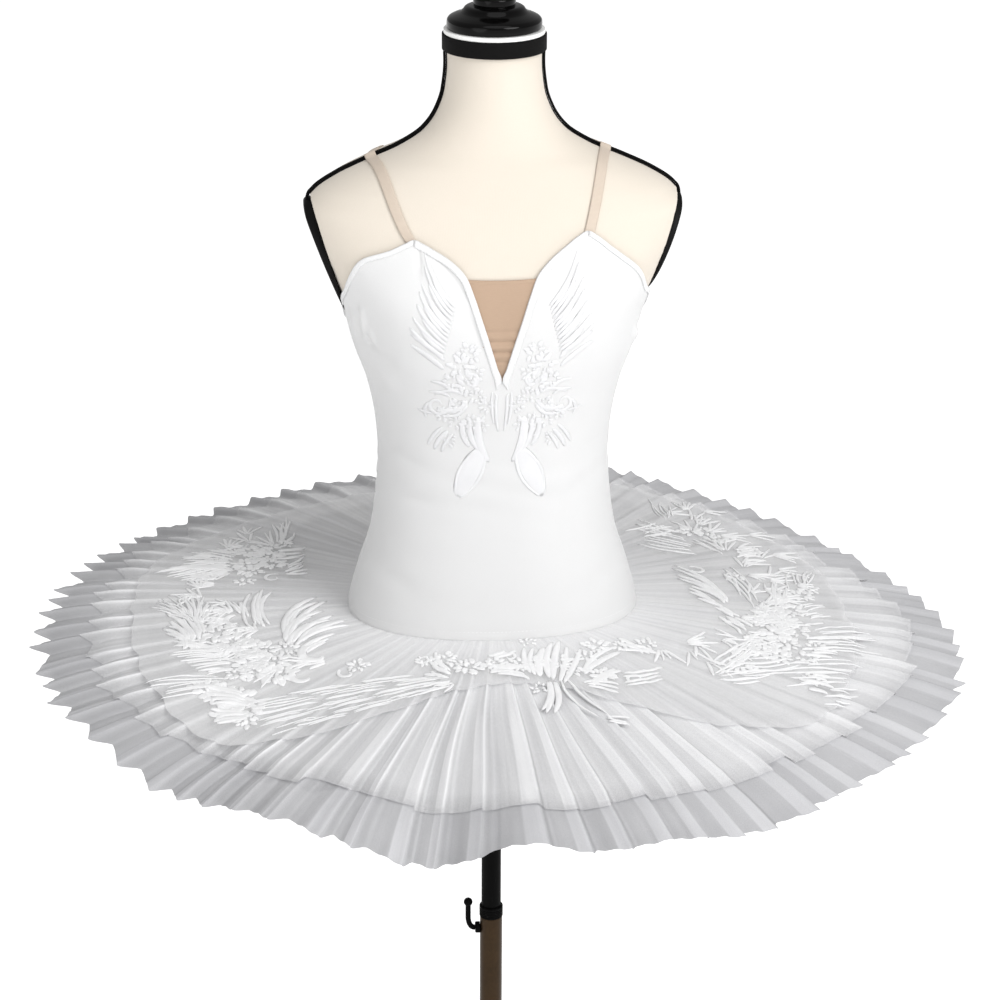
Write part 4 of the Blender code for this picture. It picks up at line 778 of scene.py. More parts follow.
def bodice_panels():
    """Front and back walls between the hip seam and the top edge, closed at the side seams."""
    side = PEAK_ANGLE + (89.93 - PEAK_ANGLE) * np.linspace(0, 1, 86) ** 0.80
    middle = PEAK_ANGLE * np.linspace(0, 1, 64) ** 1.5
    right = np.concatenate([middle, side[1:]])
    front = np.concatenate([-right[:0:-1], right])
    back = np.linspace(90.07, 269.93, 150)

    def seam(from_front):
        """A thin groove along each side seam; 2.6 mm of cloth to a degree."""
        return 0.0006 * bell((90 - from_front) * 0.0026, 0.0012)

    def front_out(alpha, z):
        return bodice_front_out(alpha, z) - seam(np.abs(front))

    def back_out(alpha, z):
        """Soft wrinkles at the waist on both sides of the placket, which has a slit and a sewn edge."""
        aside = np.abs(back - 180) * 0.0018
        wrinkle = 0.0008 * np.sin(z * 330 + 2.0 * np.cos(alpha * 5)) * bell(z - 1.085, 0.045)
        wrinkle = wrinkle * ease(aside, 0.004, 0.05)
        placket = -0.0007 * bell(aside, 0.0011) + 0.0005 * bell(aside - 0.009, 0.0014)
        return BODICE_OUTSIDE + seam_tuck(z) + wrinkle + placket - seam(np.abs(back - 180))

    return (bodice_wall("satin_bodice_front", front, 150, front_out, "bodice_front"),
            bodice_wall("satin_bodice_back", back, 116, back_out, "bodice_back"))


edge_run = run_of(FRONT_EDGE)
edge_x_at, edge_z_at = smooth(edge_run, FRONT_EDGE[:, 0]), smooth(edge_run, FRONT_EDGE[:, 1])


def edge_grid(start, end, wide, rows, columns):
    """Points from the front's edge down and out onto the cloth, square to the edge, in x and z."""
    s = np.linspace(start, end, rows)
    x, z = edge_x_at(s), edge_z_at(s)
    dx, dz = np.gradient(x, s), np.gradient(z, s)
    long = np.hypot(dx, dz)
    dx, dz = dx / long, dz / long
    share = np.linspace(0, 1, columns)
    return x[:, None] + (dz * wide)[:, None] * share, z[:, None] - (dx * wide)[:, None] * share


def strip_out(columns, thick):
    """Height across a binding: rolled over the free edge, flat, then pressed down at the sewn edge."""
    share, edge = np.linspace(0, 1, columns), 0.25
    return thick * (ease(share, -edge, edge) * (1 - 0.75 * ease(share, 1 - edge * 0.8, 1.0)))


def neck_bindings():
    """A turned strip along each side of the V, meeting at its point and ending at the strap's peak."""
    rows, columns, peak = 90, 11, float(edge_run[PEAK])
    made = []
    for name, sign in SIDES.items():
        x, z = edge_grid(0.0, peak - 0.0008, NECK_BINDING_WIDE, rows, columns)
        share = np.linspace(0, 1, columns)
        # The lower end is cut blunt: it leans round to run straight down the middle.
        s = np.linspace(0.0, peak, rows)
        blunt = (1 - ease(s, 0.0, 0.016))[:, None]
        x = x * (1 - blunt) + (0.0003 + 0.0058 * share) * blunt
        z = z * (1 - blunt) + (edge_z_at(s)[:, None] - 0.0085 * share) * blunt
        z = z + edge_shift(sign * np.interp(s, edge_run, front_angles))[:, None]
        out = BODICE_OUTSIDE + TRIM_GAP + strip_out(columns, 0.00125)
        points = on_front(sign * x, z, out + creased(sign * x, z) * 0.4)
        tip = np.abs(s / s[-1] * 2 - 1)[:, None] ** 30
        points = points - straight_out(points) * (0.0006 * tip)[..., None]
        obj = surface(f"neck_edge_binding_{name}", [(points, {})], facing="out")
        thicken(obj, BINDING_WALL)
        made.append(settle(obj, "figure", "satin", BINDING, f"neck_binding_{name}"))
        lines = [points[2:-1, k] for k in (1, columns - 2)]
        stitches = [stitch_block(line + straight_out(line) * 0.0001) for line in lines]
        made.append(settle(surface(f"neck_edge_stitches_{name}", stitches), "figure", "satin", THREAD))
    return made


def edge_bindings():
    """Narrow bindings on the armhole edges and the back's upper edge."""
    columns, peak = 9, PEAK_ANGLE + 0.3
    share, made = np.linspace(0, 1, columns)[None, :], {}
    for name, node, start, end, rows in (
        ("left", "armhole_binding_left", -148.0, -peak, 150),
        ("right", "armhole_binding_right", peak, 148.0, 150),
        ("back", "back_binding", 148.4, 211.6, 60),
    ):
        degrees = np.linspace(start, end, rows)[:, None]
        edge = top_edge(degrees)
        slope = np.gradient(edge[:, 0], np.radians(degrees[:, 0]) * 0.13)[:, None]
        drop = EDGE_BINDING_WIDE * np.hypot(1, slope) ** 0.6
        z = edge + 0.0002 - drop * share
        out = BODICE_OUTSIDE + TRIM_GAP + strip_out(columns, 0.00105)
        alpha = np.radians(degrees) + 0 * z
        flat = torso(alpha, z, BODICE_OUTSIDE)
        crease = creased(flat[..., 0], z) * (np.cos(alpha) > 0) * 0.5
        points = torso(alpha, z, out + crease)
        obj = surface(f"edge_binding_{name}", [(points, {})], facing="out")
        thicken(obj, BINDING_WALL)
        settle(obj, "figure", "satin", BINDING, node)
        thread = surface(f"edge_stitches_{name}", [stitch_block(points[1:-1, -2])])
        made[name] = [obj, settle(thread, "figure", "satin", THREAD)]
    return made


# The insert's wrinkles from its point up: height, depth, width, sag in the middle.
INSERT_WRINKLES = [
    (1.2395, 0.0009, 0.0014, 0.0020), (1.2450, -0.0009, 0.0018, 0.0018), (1.2498, 0.0012, 0.0015, 0.0024),
    (1.2545, -0.0010, 0.0020, 0.0020), (1.2600, 0.0012, 0.0016, 0.0016), (1.2650, -0.0006, 0.0018, 0.0010),
    (1.2700, 0.0006, 0.0018, 0.0006),
]


def modesty_insert():
    """The nude panel behind the V, with sagging horizontal wrinkles near its point."""
    rows, columns, foot, tuck = 110, 36, 1.2120, 0.0080
    across = np.linspace(-1, 1, columns)
    top = 1.3215 - 0.0020 * (1 - across**2)
    z = foot + (top - foot) * np.linspace(0, 1, rows)[:, None]
    half = np.interp(z, FRONT_EDGE[: PEAK + 1, 1], FRONT_EDGE[: PEAK + 1, 0]) + tuck
    x = half * across
    wrinkle = 0 * z
    for height, depth, width, sag in INSERT_WRINKLES:
        wrinkle = wrinkle - depth * bell(z - height + sag * (1 - (x / half) ** 2), width)
    hem = 0.0005 * bell(z - top + 0.0022, 0.0014)
    points = on_front(x, z, SKIN_GAP + 0.0013 + wrinkle + hem)
    obj = surface("nude_insert", [(points, {})], facing=(0, -1, 0))
    thicken(obj, INSERT_WALL)
    settle(obj, "figure", "nude_mesh", NUDE, "modesty_panel")


def straps():
    """Elastic straps over the shoulders: rays from points inside the form, turned from front to back."""
    first, last, hub_z = 15.0, 214.3, 1.330
    front_x, back_x = 0.0835, 0.0720
    turn = np.concatenate([np.linspace(first, 80, 80), np.linspace(81, 100, 50), np.linspace(102, last, 120)])
    lean = (np.minimum(turn, 90) - first) / 75.0
    fall = np.maximum(turn - 90, 0) / 124.3
    share = np.linspace(-0.5, 0.5, 9)
    way = np.stack([0 * turn, -np.cos(np.radians(turn)), np.sin(np.radians(turn))], -1)
    for (name, sign), crest, bow in zip(SIDES.items(), (0.1225, 0.1105), (0.68, 0.92)):
        middle = front_x + (crest - front_x) * lean**bow + (back_x - crest) * fall
        hub = np.zeros((len(turn), len(share), 3)) + (0, 0, hub_z)
        hub[..., 0] = sign * (middle[:, None] + share * STRAP_WIDE)
        ways = np.broadcast_to(way[:, None], hub.shape)
        points = ray_out(hub, ways, SKIN_GAP + 0.0004)
        over_cord = 0.0036 * bell(points[..., 1], 0.0052)
        edge = -0.0003 * np.abs(share * 2) ** 6 - 0.0004 * (1 - ease(turn, 17.0, 22.0))[:, None]
        points = points + ways * (over_cord + TAPE_WALL + edge)[..., None]
        obj = surface(f"elastic_strap_{name}", [(points, {})], facing="up")
        thicken(obj, TAPE_WALL)
        settle(obj, "figure", "strap_elastic", ELASTIC, f"strap_{name}")


# ---------------------------------------------------------------- the skirt
def wave_sum(phi, waves):
    """Sum of size cos(count (phi - crest))."""
    return sum(size * np.cos(count * (phi - math.radians(crest))) for count, size, crest in waves)


def rim_radius(phi):
    """Distance from the axis to the rim, between the points and the valleys of the hem."""
    return RIM_RADIUS + wave_sum(phi, RADIUS_WAVES)


def signed_degrees(phi):
    """Degrees from -180 to 180."""
    return (np.degrees(phi) + 180) % 360 - 180


def lift(phi, share):
    """Long waves of the rim times the share, and short sags, bells in the angle, times its cube."""
    degrees = signed_degrees(phi)
    sags = sum(rise * bell((degrees - place + 180) % 360 - 180, wide) for place, wide, rise in RIM_SAGS)
    return wave_sum(phi, HEIGHT_WAVES) * share + sags * share**3


def hip_radius(phi):
    """Distance to the superellipse of the hip, a little outside the briefs."""
    _, wide, front, back, n = TORSO[4]
    wide = wide + HIP_CLEAR
    depth = np.where(np.sin(phi) < 0, front, back) + HIP_CLEAR
    return 1 / ((np.abs(np.cos(phi)) / wide) ** n + (np.abs(np.sin(phi)) / depth) ** n) ** (1 / n)


# By the share of the way from hip to rim: fall below the hip, height of the pleats, and how much
# more the longest layer hangs. By the angle: fullness and the depth of the points.
fall_at = smooth((0, 0.45, 1.15), (0.0, 0.0125, 0.0382))
pleat_at = smooth((0, 0.45, 1.15), (0.0016, 0.0070, 0.0150))
sag_at = smooth((0, 0.45, 0.84, 1.0, 1.15), (0.0, 0.0004, 0.0022, 0.0078, 0.0105))
fill_at, point_at = (smooth(FULLNESS[:, 0], FULLNESS[:, c]) for c in (1, 2))
wing_inner_at, wing_spine_at, wing_tips_at = (smooth(WING[:, 0], WING[:, c]) for c in (1, 2, 3))
overlay_edge_at = smooth(OVERLAY_EDGE[:, 0], OVERLAY_EDGE[:, 1])


def share_of(phi, radius):
    """How far out a radius lies: 0 at the hip, 1 at the rim."""
    hip = hip_radius(phi)
    return (radius - hip) / (rim_radius(phi) - hip)


def middle_height(phi, share):
    """Height of the tulle half way up its pleats."""
    return STACK_TOP - fall_at(share) + lift(phi, share)


def around(phi, radius, z):
    """Points at an angle, a distance from the axis and a height."""
    return np.stack([radius * np.cos(phi), radius * np.sin(phi), z], -1)


# Each pleat's own place, height, reach and shade.
draws = np.random.default_rng(SEED)
ridges = (np.arange(PLEATS) + PLEAT_UNEVEN * draws.uniform(-1, 1, PLEATS)) * 2 * math.pi / PLEATS
tall = draws.uniform(0.78, 1.0, PLEATS)
reach = draws.uniform(0.70, 1.05, PLEATS)
shade = draws.uniform(-1, 1, PLEATS)
ridge_ends = np.append(ridges, ridges[0] + 2 * math.pi)


def pleat_place(phi):
    """Which pleat an angle lies in, how far through it, and its width."""
    turned_phi = (phi - ridges[0]) % (2 * math.pi) + ridges[0]
    k = np.clip(np.searchsorted(ridges, turned_phi, "right") - 1, 0, PLEATS - 1)
    wide = ridge_ends[k + 1] - ridges[k]
    return k, (turned_phi - ridges[k]) / wide, wide


def pleat_height(k, t):
    """From a ridge at t = 0 steeply down to a valley, then slowly up to the next ridge, in half heights."""
    here, after = tall[k] / 2, tall[(k + 1) % PLEATS] / 2
    down = here * (1 - 2 * ease(t, -0.04, PLEAT_STEEP))
    rise = np.clip((t - PLEAT_STEEP) / (1 - PLEAT_STEEP), 0, 1)
    climb = -here + (here + after) * (0.80 * rise + 0.20 * rise**3)
    return np.where(t < PLEAT_STEEP, down, climb)


def notch(k, t):
    """How far in the hem lies at a point of the pleat: 0 at the longest tip, 1 in the valley."""
    here, after = 1 - reach[k], 1 - reach[(k + 1) % PLEATS]
    inward = here + (1 - here) * ease(t, 0.0, PLEAT_STEEP) ** 0.8
    rise = np.clip((t - PLEAT_STEEP) / (1 - PLEAT_STEEP), 0, 1)
    outward = 1 + (after - 1) * (0.75 * rise + 0.25 * rise**2)
    return np.where(t < PLEAT_STEEP, inward, outward)


# Where a pleat's columns stand, as shares of its width: close together on its steep side.
PLEAT_POINTS = np.array([
    0.0, 0.03, 0.065, 0.10, 0.14, 0.20, 0.27, 0.37, 0.48, 0.58, 0.655, 0.70, 0.80, 0.90, 0.965,
])


def pleated(name, hem_short, tip_reach, drop, sags, rows, seed, hem_ply, banded):
    """A pleated ring: its columns stand at set shares of each pleat, its rows run from hip to hem.

    hem_short is how far the hem stays inside the rim, tip_reach the depth of its points, drop how far
    the layer lies below the top one, hem_ply its cover at the hem and the weight of its painted shade near
    the rim, banded how bright its doubled bands are, partly a painted highlight."""
    draw = np.random.default_rng(seed)
    k = np.repeat(np.arange(PLEATS), len(PLEAT_POINTS))
    t = np.tile(PLEAT_POINTS, PLEATS)
    wide = (ridge_ends[1:] - ridges)[k]
    base_phi = ridges[k] + t * wide
    degrees = signed_degrees(base_phi)
    hem = rim_radius(base_phi) - hem_short * (1 + 0.36 * bell(degrees + 90, 50)) * (1 + 0.12 * shade[k])
    hem = hem - tip_reach * point_at(degrees) * notch(k, t)
    hip = hip_radius(base_phi)
    s = (np.linspace(0, 1, rows) ** 0.92)[:, None]
    radius = hip + s * (hem - hip)
    share = share_of(base_phi, radius)
    # Pleats wander sideways a little as they run out, each pleat together with its neighbours.
    sway = 0.0022 * np.sin(3.1 * share + 5 * base_phi) + 0.0013 * np.sin(7.0 * share + 17 * base_phi)
    phi = base_phi + sway * ease(share, 0.1, 0.6) / radius
    height = fill_at(degrees) * pleat_height(k, t)
    z = middle_height(base_phi, share) + pleat_at(share) * height - drop
    z = z - (sag_at(share) if sags else 0)
    # Gathers at the hip, small dents on the faces and a light flutter of the hem.
    gather = 0.0006 * np.sin(base_phi * 216 + 2 * np.sin(base_phi * 9)) * (1 - ease(share, 0.05, 0.38))
    dents = draw.uniform(-1, 1, (PLEATS, 3))
    face = np.sin(math.pi * np.clip((t - PLEAT_STEEP) / (1 - PLEAT_STEEP), 0, 1))
    dent = 0.0011 * dents[k, 0] * face * np.sin(math.pi * np.clip(share * 1.3 + 0.2 * dents[k, 1], 0, 1))
    flutter = 0.0016 * np.sin(base_phi * 144 + 6 * dents[k, 2]) * ease(share, 0.72, 1.0) * face
    z = z + gather - np.abs(dent) * 0.9 + dent * 0.3 + flutter * 0.7
    z = z - (0 if sags else 0.0024) * ease(radius, hem - 0.022, hem)
    points = around(phi, radius, z)
    from_ridge = np.minimum(t, 1 - t) * wide * radius
    # Each ridge is a doubled fold; its brighter tone is partly a painted highlight.
    fold = bell(from_ridge, 0.0016)
    # Painted shade: the steep return after each ridge is darkened in the tone.
    recess_shade = np.sin(math.pi * np.clip(t / PLEAT_STEEP, 0, 1)) * ease(share, 0.08, 0.45)
    near_hem = ease(radius, hem - 0.030, hem)
    # The cloth is doubled in a band before each ridge, so it looks whiter there; the band's brightness is
    # also a painted highlight, strongest at the front.
    band = ease(t, 0.655, 0.70) * ease(share, 0.25, 0.55) * (0.35 + 0.65 * bell(degrees + 105, 62))
    tone = 1 + 0.05 * fold * ease(share, 0.2, 0.5) - 0.20 * recess_shade + 0.025 * shade[k] + banded * band
    # Lighter towards the hip; darker towards the hem, which is painted shade.
    tone = tone + 0.08 * (1 - ease(share, 0.0, 0.5)) - 0.06 * hem_ply * near_hem * (1 - band)
    # Painted shade: the stiff layer is darkened towards its rim on the left.
    tone = tone - 0.13 * hem_ply * bell(180 - np.abs(degrees), 42) * ease(share, 0.6, 0.95)
    ply = 0.60 + 0.14 * bell(degrees + 65, 42)
    ply = ply + (1 - ply) * np.maximum(np.maximum(fold, band), 1 - ease(share, 0.0, 0.40))
    ply = ply * (1 - (1 - hem_ply) * near_hem * (1 - 0.6 * band))
    ply = ply * (1 - 1.25 * (1 - hem_ply) * ease(radius, hem - 0.007, hem))
    return surface(name, [(points, dict(ring=True, tone=tone, ply=ply))], facing="up")


def veil_height(phi, radius):
    """The veil's upper side: it rests on the ridges and sinks a part of the way between them."""
    share = share_of(phi, radius)
    k, t, _ = pleat_place(phi)
    ridge = ((1 - t) * tall[k] + t * tall[(k + 1) % PLEATS]) / 2
    sunk = ridge - 0.22 * (ridge - pleat_height(k, t))
    return middle_height(phi, share) + pleat_at(share) * fill_at(signed_degrees(phi)) * sunk + 0.0016


def skirt_layers():
    """Long stiff tulle, shorter top tulle, the sheer veil over them and the gathered support below."""
    long = pleated("tulle_long_layer", 0.0, TIP_REACH, SHEET + LAYER_GAP, True, 34, 21, 1.0, 0.30)
    settle(long, "figure", "tulle", TULLE_LONG_SHADED, "tulle_main")
    short = pleated("tulle_top_layer", UPPER_HEM, UPPER_TIP, 0.0, False, 34, 22, 0.35, 0.05)
    settle(short, "figure", "tulle", TULLE_SHORT, "tulle_upper")

    phi = full_turn(PLEATS * 12)
    degrees = np.abs((np.degrees(phi) + 90 + 180) % 360 - 180)
    edge = overlay_edge_at(degrees)
    edge = edge + 0.0016 * np.sin(phi * 31) + 0.0012 * np.sin(phi * 53 + 1)
    s = np.linspace(0, 1, 34)[:, None]
    hip = hip_radius(phi)
    radius = hip + s * (edge - hip)
    z = veil_height(phi, radius) - 0.0006 * ease(radius, edge - 0.006, edge)
    points = around(phi, radius, z)
    # The net is doubled behind the embroidery.
    inner, outer = wing_inner_at(degrees), wing_tips_at(degrees)
    backed = ease(radius, inner + 0.010, inner + 0.035) * (1 - ease(radius, outer - 0.020, outer + 0.006))
    ply = 0.30 + 0.50 * (1 - ease(radius, hip, hip + 0.09)) + 0.30 * backed * ease(degrees, 26, 60)
    ply = ply - 0.14 * ease(radius, edge - 0.010, edge)
    veil = surface("veil_overlay", [(points, dict(ring=True, ply=ply))], facing="up")
    settle(veil, "figure", "tulle", VEIL, "overlay")

    phi = full_turn(SUPPORT_WAVES * 12)
    hip = hip_radius(phi)
    s = np.linspace(0, 1, 22)[:, None]
    radius = hip + s * (SUPPORT_RADIUS - hip)
    share = share_of(phi, radius)
    under = pleat_at(share) / 2 + SHEET + 2 * LAYER_GAP + SHEET + sag_at(share)
    wave = 0.0004 + 0.0100 * s * (1 + np.cos(SUPPORT_WAVES * phi + 0.6 * np.sin(5 * phi))) / 2
    wave = wave + 0.0016 * s * np.sin(SUPPORT_WAVES * 2 * phi + 3 * np.sin(7 * phi))
    points = around(phi, radius, middle_height(phi, share) - under - wave)
    ply = 0.45 + 0.5 * bell(radius - SUPPORT_RADIUS, 0.002)
    frill = surface("tulle_support_frill", [(points, dict(ring=True, ply=ply, tone=0.95))], facing="up")
    settle(frill, "figure", "tulle", TULLE_LONG_SHADED, "tulle_support")
    return veil


# ---------------------------------------------------------------- feathered appliques
def on_veil(x, y, h):
    """Lifts plan coordinates onto the veil, and beyond its edge onto the top layer."""
    radius = np.hypot(x, y)
    edge = overlay_edge_at(np.degrees(np.abs(np.arctan2(x, -y))))
    z = veil_height(np.arctan2(y, x), radius) + 0.0003 - 0.0014 * ease(radius, edge - 0.002, edge + 0.006)
    return np.stack(np.broadcast_arrays(x, y, z + h), -1)


def plan(degrees, radius):
    """Plan coordinates of an angle from the front centre and a radius."""
    phi = np.radians(degrees) - math.pi / 2
    return np.stack([radius * np.cos(phi), radius * np.sin(phi)], -1)


def fan_spines(root, heading, spread, lengths, bend, rows, start):
    """Spines that leave one root in a fan, and bend by an angle that grows as t^1.5."""
    aside = np.linspace(-1, 1, len(lengths))
    turn = np.radians(heading) + np.radians(spread * aside)
    t = np.linspace(0, 1, rows)[None, :]
    curl = turn[:, None] + np.radians(bend) * t**1.5 * aside[:, None]
    run = lengths[:, None] / (rows - 1)
    steps = np.stack([np.cos(curl), np.sin(curl)], -1) * run[..., None]
    first = np.stack([np.cos(turn), np.sin(turn)], -1)[:, None] * start
    return root + first + np.concatenate([0 * steps[:, :1], np.cumsum(steps[:, 1:], 1)], 1)


def bowed(starts, ends, bow, rows=13):
    """Curves from start to end that stand off the straight line by 4 bow length t (1 - t) to its left."""
    t = np.linspace(0, 1, rows)[None, :, None]
    way = (ends - starts)[:, None]
    left = np.stack([-way[..., 1], way[..., 0]], -1)
    return starts[:, None] + way * t + left * (4 * bow[:, None, None] * t * (1 - t))


def swath(row, sign, count, shorten, delay, stray, bend, draw):
    """Curves side by side from the first strand of a row to its last, with uneven ends and bows."""
    start, end = (plan(sign * np.linspace(row[k], row[k + 4], count),
                       np.linspace(row[k + 1], row[k + 5], count)) for k in (0, 2))
    end = end + (start - end) * draw.uniform(0.0, shorten, (count, 1))
    if delay:
        start = start + (end - start) * draw.uniform(0.0, delay, (count, 1))
    start, end = (p + draw.normal(0, stray, (count, 2)) for p in (start, end))
    return bowed(start, end, sign * row[10] + draw.normal(0, bend, count))


def fingers(spines, wide, rise, seat, draw):
    """Long raised fingers with slightly different widths, sin(pi t^0.85)^0.42 along each."""
    count, rows = spines.shape[:2]
    size = wide * draw.uniform(0.82, 1.15, (count, 1))
    shape = np.sin(math.pi * np.linspace(0, 1, rows) ** 0.85) ** 0.42
    return strand_block(spines, size * shape, rise * np.broadcast_to(shape, (count, rows)), seat, 6)


def cluster(root, size, count, seat, draw):
    """Scalloped petals in a sunflower spiral: the k-th starts sqrt(k / count) out, 137.5 degrees on."""
    k = np.arange(count)
    turn = k * math.radians(137.5) + draw.uniform(0, 2 * math.pi)
    out = size * np.sqrt((k + 0.3) / count)
    long = (size * draw.uniform(0.40, 0.66, count))[:, None]
    heading = turn + draw.uniform(-0.6, 0.6, count)
    t = np.linspace(0, 1, 8)
    start = np.asarray(root) + 0.62 * out[:, None] * np.stack([np.cos(turn), np.sin(turn)], -1)
    way = np.stack([np.cos(heading), np.sin(heading)], -1)[:, None]
    half = 0.30 * long * np.sin(math.pi * t**0.72) ** 0.5
    rise = (0.0021 - 0.0009 * out / size)[:, None] * tapered(8, 0.35)
    return strand_block(start[:, None] + (long * t)[..., None] * way, half, rise, seat, 8, groove=0.45)


def hook(centre, size, half, turns, start, hand, seat):
    """A fat curl, grooved along its middle: a spiral of radius size (1 - 0.78 t) that thins as it goes in."""
    rows = 34
    t = np.linspace(0, 1, rows)
    turn = math.radians(start) + hand * 2 * math.pi * turns * t
    radius = size * (1 - 0.78 * t)
    spine = (np.asarray(centre) + np.stack([radius * np.cos(turn), radius * np.sin(turn)], -1))[None]
    width = half * np.linspace(1, 0.45, rows)[None] * tapered(rows, 0.3)
    return strand_block(spine, width, 0.45 * width, seat, 8, groove=0.35)


def dashes(paths, seat, draw):
    """Satin stitched leaves laid end to end along each path, staggered from path to path."""
    spines = []
    for path in paths:
        run = run_of(path)
        at = draw.uniform(0.0, 0.060)
        while at < run[-1] - 0.012:
            end = min(at + draw.uniform(0.028, 0.074), run[-1])
            spines.append(points_at(np.linspace(at, end, 9), run, path))
            at = end - draw.uniform(-0.0110, 0.0030)
    return fingers(np.array(spines), 0.0010, 0.0010, seat, draw)


# Left side of the skirt: groups of strands side by side. Angle from the front and radius where the first
# strand starts and ends, then where the last one does; number, half width, bow as a share of the length.
SWATHS = [
    (132.7, 0.293, 147.6, 0.374, 132.0, 0.295, 141.2, 0.362, 5, 0.0022, 0.03),
    (131.5, 0.297, 139.0, 0.350, 131.0, 0.298, 130.0, 0.340, 4, 0.0020, 0.00),
    (133.0, 0.292, 142.3, 0.318, 132.5, 0.290, 138.0, 0.300, 2, 0.0018, 0.03),
    (124.0, 0.312, 124.5, 0.352, 120.5, 0.310, 121.7, 0.368, 5, 0.0023, 0.04),
    (119.9, 0.308, 121.0, 0.368, 118.4, 0.303, 113.0, 0.356, 6, 0.0022, 0.05),
    (117.9, 0.302, 112.5, 0.354, 116.2, 0.298, 108.5, 0.376, 6, 0.0021, 0.05),
    (116.2, 0.296, 108.5, 0.372, 113.2, 0.287, 103.3, 0.330, 7, 0.0022, 0.04),
    (118.7, 0.242, 129.9, 0.246, 113.0, 0.232, 116.0, 0.208, 5, 0.0024, 0.06),
    (128.9, 0.283, 134.0, 0.262, 123.0, 0.268, 128.0, 0.240, 4, 0.0024, 0.05),
    (78.7, 0.254, 104.0, 0.258, 76.3, 0.236, 102.7, 0.230, 5, 0.0031, -0.05),
    (84.4, 0.309, 96.9, 0.359, 84.4, 0.309, 91.8, 0.357, 4, 0.0017, 0.05),
    (84.4, 0.309, 97.5, 0.356, 84.3, 0.308, 98.7, 0.334, 4, 0.0018, 0.04),
    (84.3, 0.308, 99.3, 0.330, 84.3, 0.306, 97.8, 0.306, 5, 0.0020, 0.03),
    (84.3, 0.305, 97.0, 0.302, 84.2, 0.302, 92.5, 0.288, 4, 0.0020, 0.00),
    (76.1, 0.320, 90.4, 0.344, 75.5, 0.322, 82.0, 0.342, 4, 0.0042, 0.08),
    (77.0, 0.312, 88.0, 0.322, 78.6, 0.306, 87.5, 0.308, 3, 0.0036, 0.05),
    (73.5, 0.290, 80.0, 0.346, 70.6, 0.286, 76.0, 0.344, 5, 0.0019, 0.05),
    (70.0, 0.285, 74.5, 0.352, 66.3, 0.292, 69.3, 0.345, 7, 0.0018, 0.05),
    (66.0, 0.294, 68.5, 0.338, 63.0, 0.300, 64.5, 0.330, 4, 0.0024, 0.04),
    (61.5, 0.312, 68.0, 0.394, 59.0, 0.322, 62.0, 0.388, 6, 0.0012, 0.04),
    (54.4, 0.310, 63.8, 0.352, 51.5, 0.322, 58.0, 0.354, 4, 0.0046, 0.08),
    (50.5, 0.326, 56.0, 0.360, 48.3, 0.336, 52.3, 0.364, 4, 0.0044, 0.06),
    (70.0, 0.231, 99.0, 0.178, 67.5, 0.232, 90.0, 0.162, 4, 0.0052, -0.16),
    (67.0, 0.233, 84.0, 0.158, 65.0, 0.232, 72.9, 0.148, 4, 0.0046, -0.12),
    (69.5, 0.230, 94.0, 0.192, 68.0, 0.232, 80.0, 0.176, 3, 0.0040, -0.10),
    (64.0, 0.228, 68.7, 0.176, 62.0, 0.226, 64.0, 0.186, 3, 0.0034, -0.05),
    (87.0, 0.262, 96.0, 0.276, 84.0, 0.254, 95.0, 0.262, 3, 0.0026, 0.03),
]
# Angle, radius, size, petals.
CLUSTERS = [
    (125.8, 0.307, 0.020, 20), (124.7, 0.282, 0.020, 20), (117.6, 0.283, 0.021, 22),
    (119.8, 0.260, 0.018, 16), (130.0, 0.302, 0.015, 14), (133.5, 0.292, 0.012, 12),
    (113.0, 0.272, 0.016, 14), (106.0, 0.266, 0.013, 10), (79.0, 0.287, 0.020, 22),
    (73.9, 0.279, 0.021, 24), (70.0, 0.269, 0.020, 22), (68.8, 0.257, 0.017, 18),
    (64.7, 0.277, 0.021, 24), (62.3, 0.260, 0.019, 20), (57.0, 0.268, 0.020, 20),
    (60.5, 0.284, 0.017, 18), (84.0, 0.300, 0.014, 14), (88.0, 0.290, 0.013, 12),
    (60.8, 0.340, 0.018, 20), (57.7, 0.333, 0.020, 22), (55.4, 0.322, 0.021, 24),
    (52.0, 0.326, 0.019, 20), (52.6, 0.344, 0.018, 20), (49.5, 0.340, 0.014, 14),
    (46.7, 0.201, 0.013, 14), (76.0, 0.318, 0.015, 14), (66.0, 0.236, 0.014, 14),
    (62.0, 0.300, 0.014, 14),
]
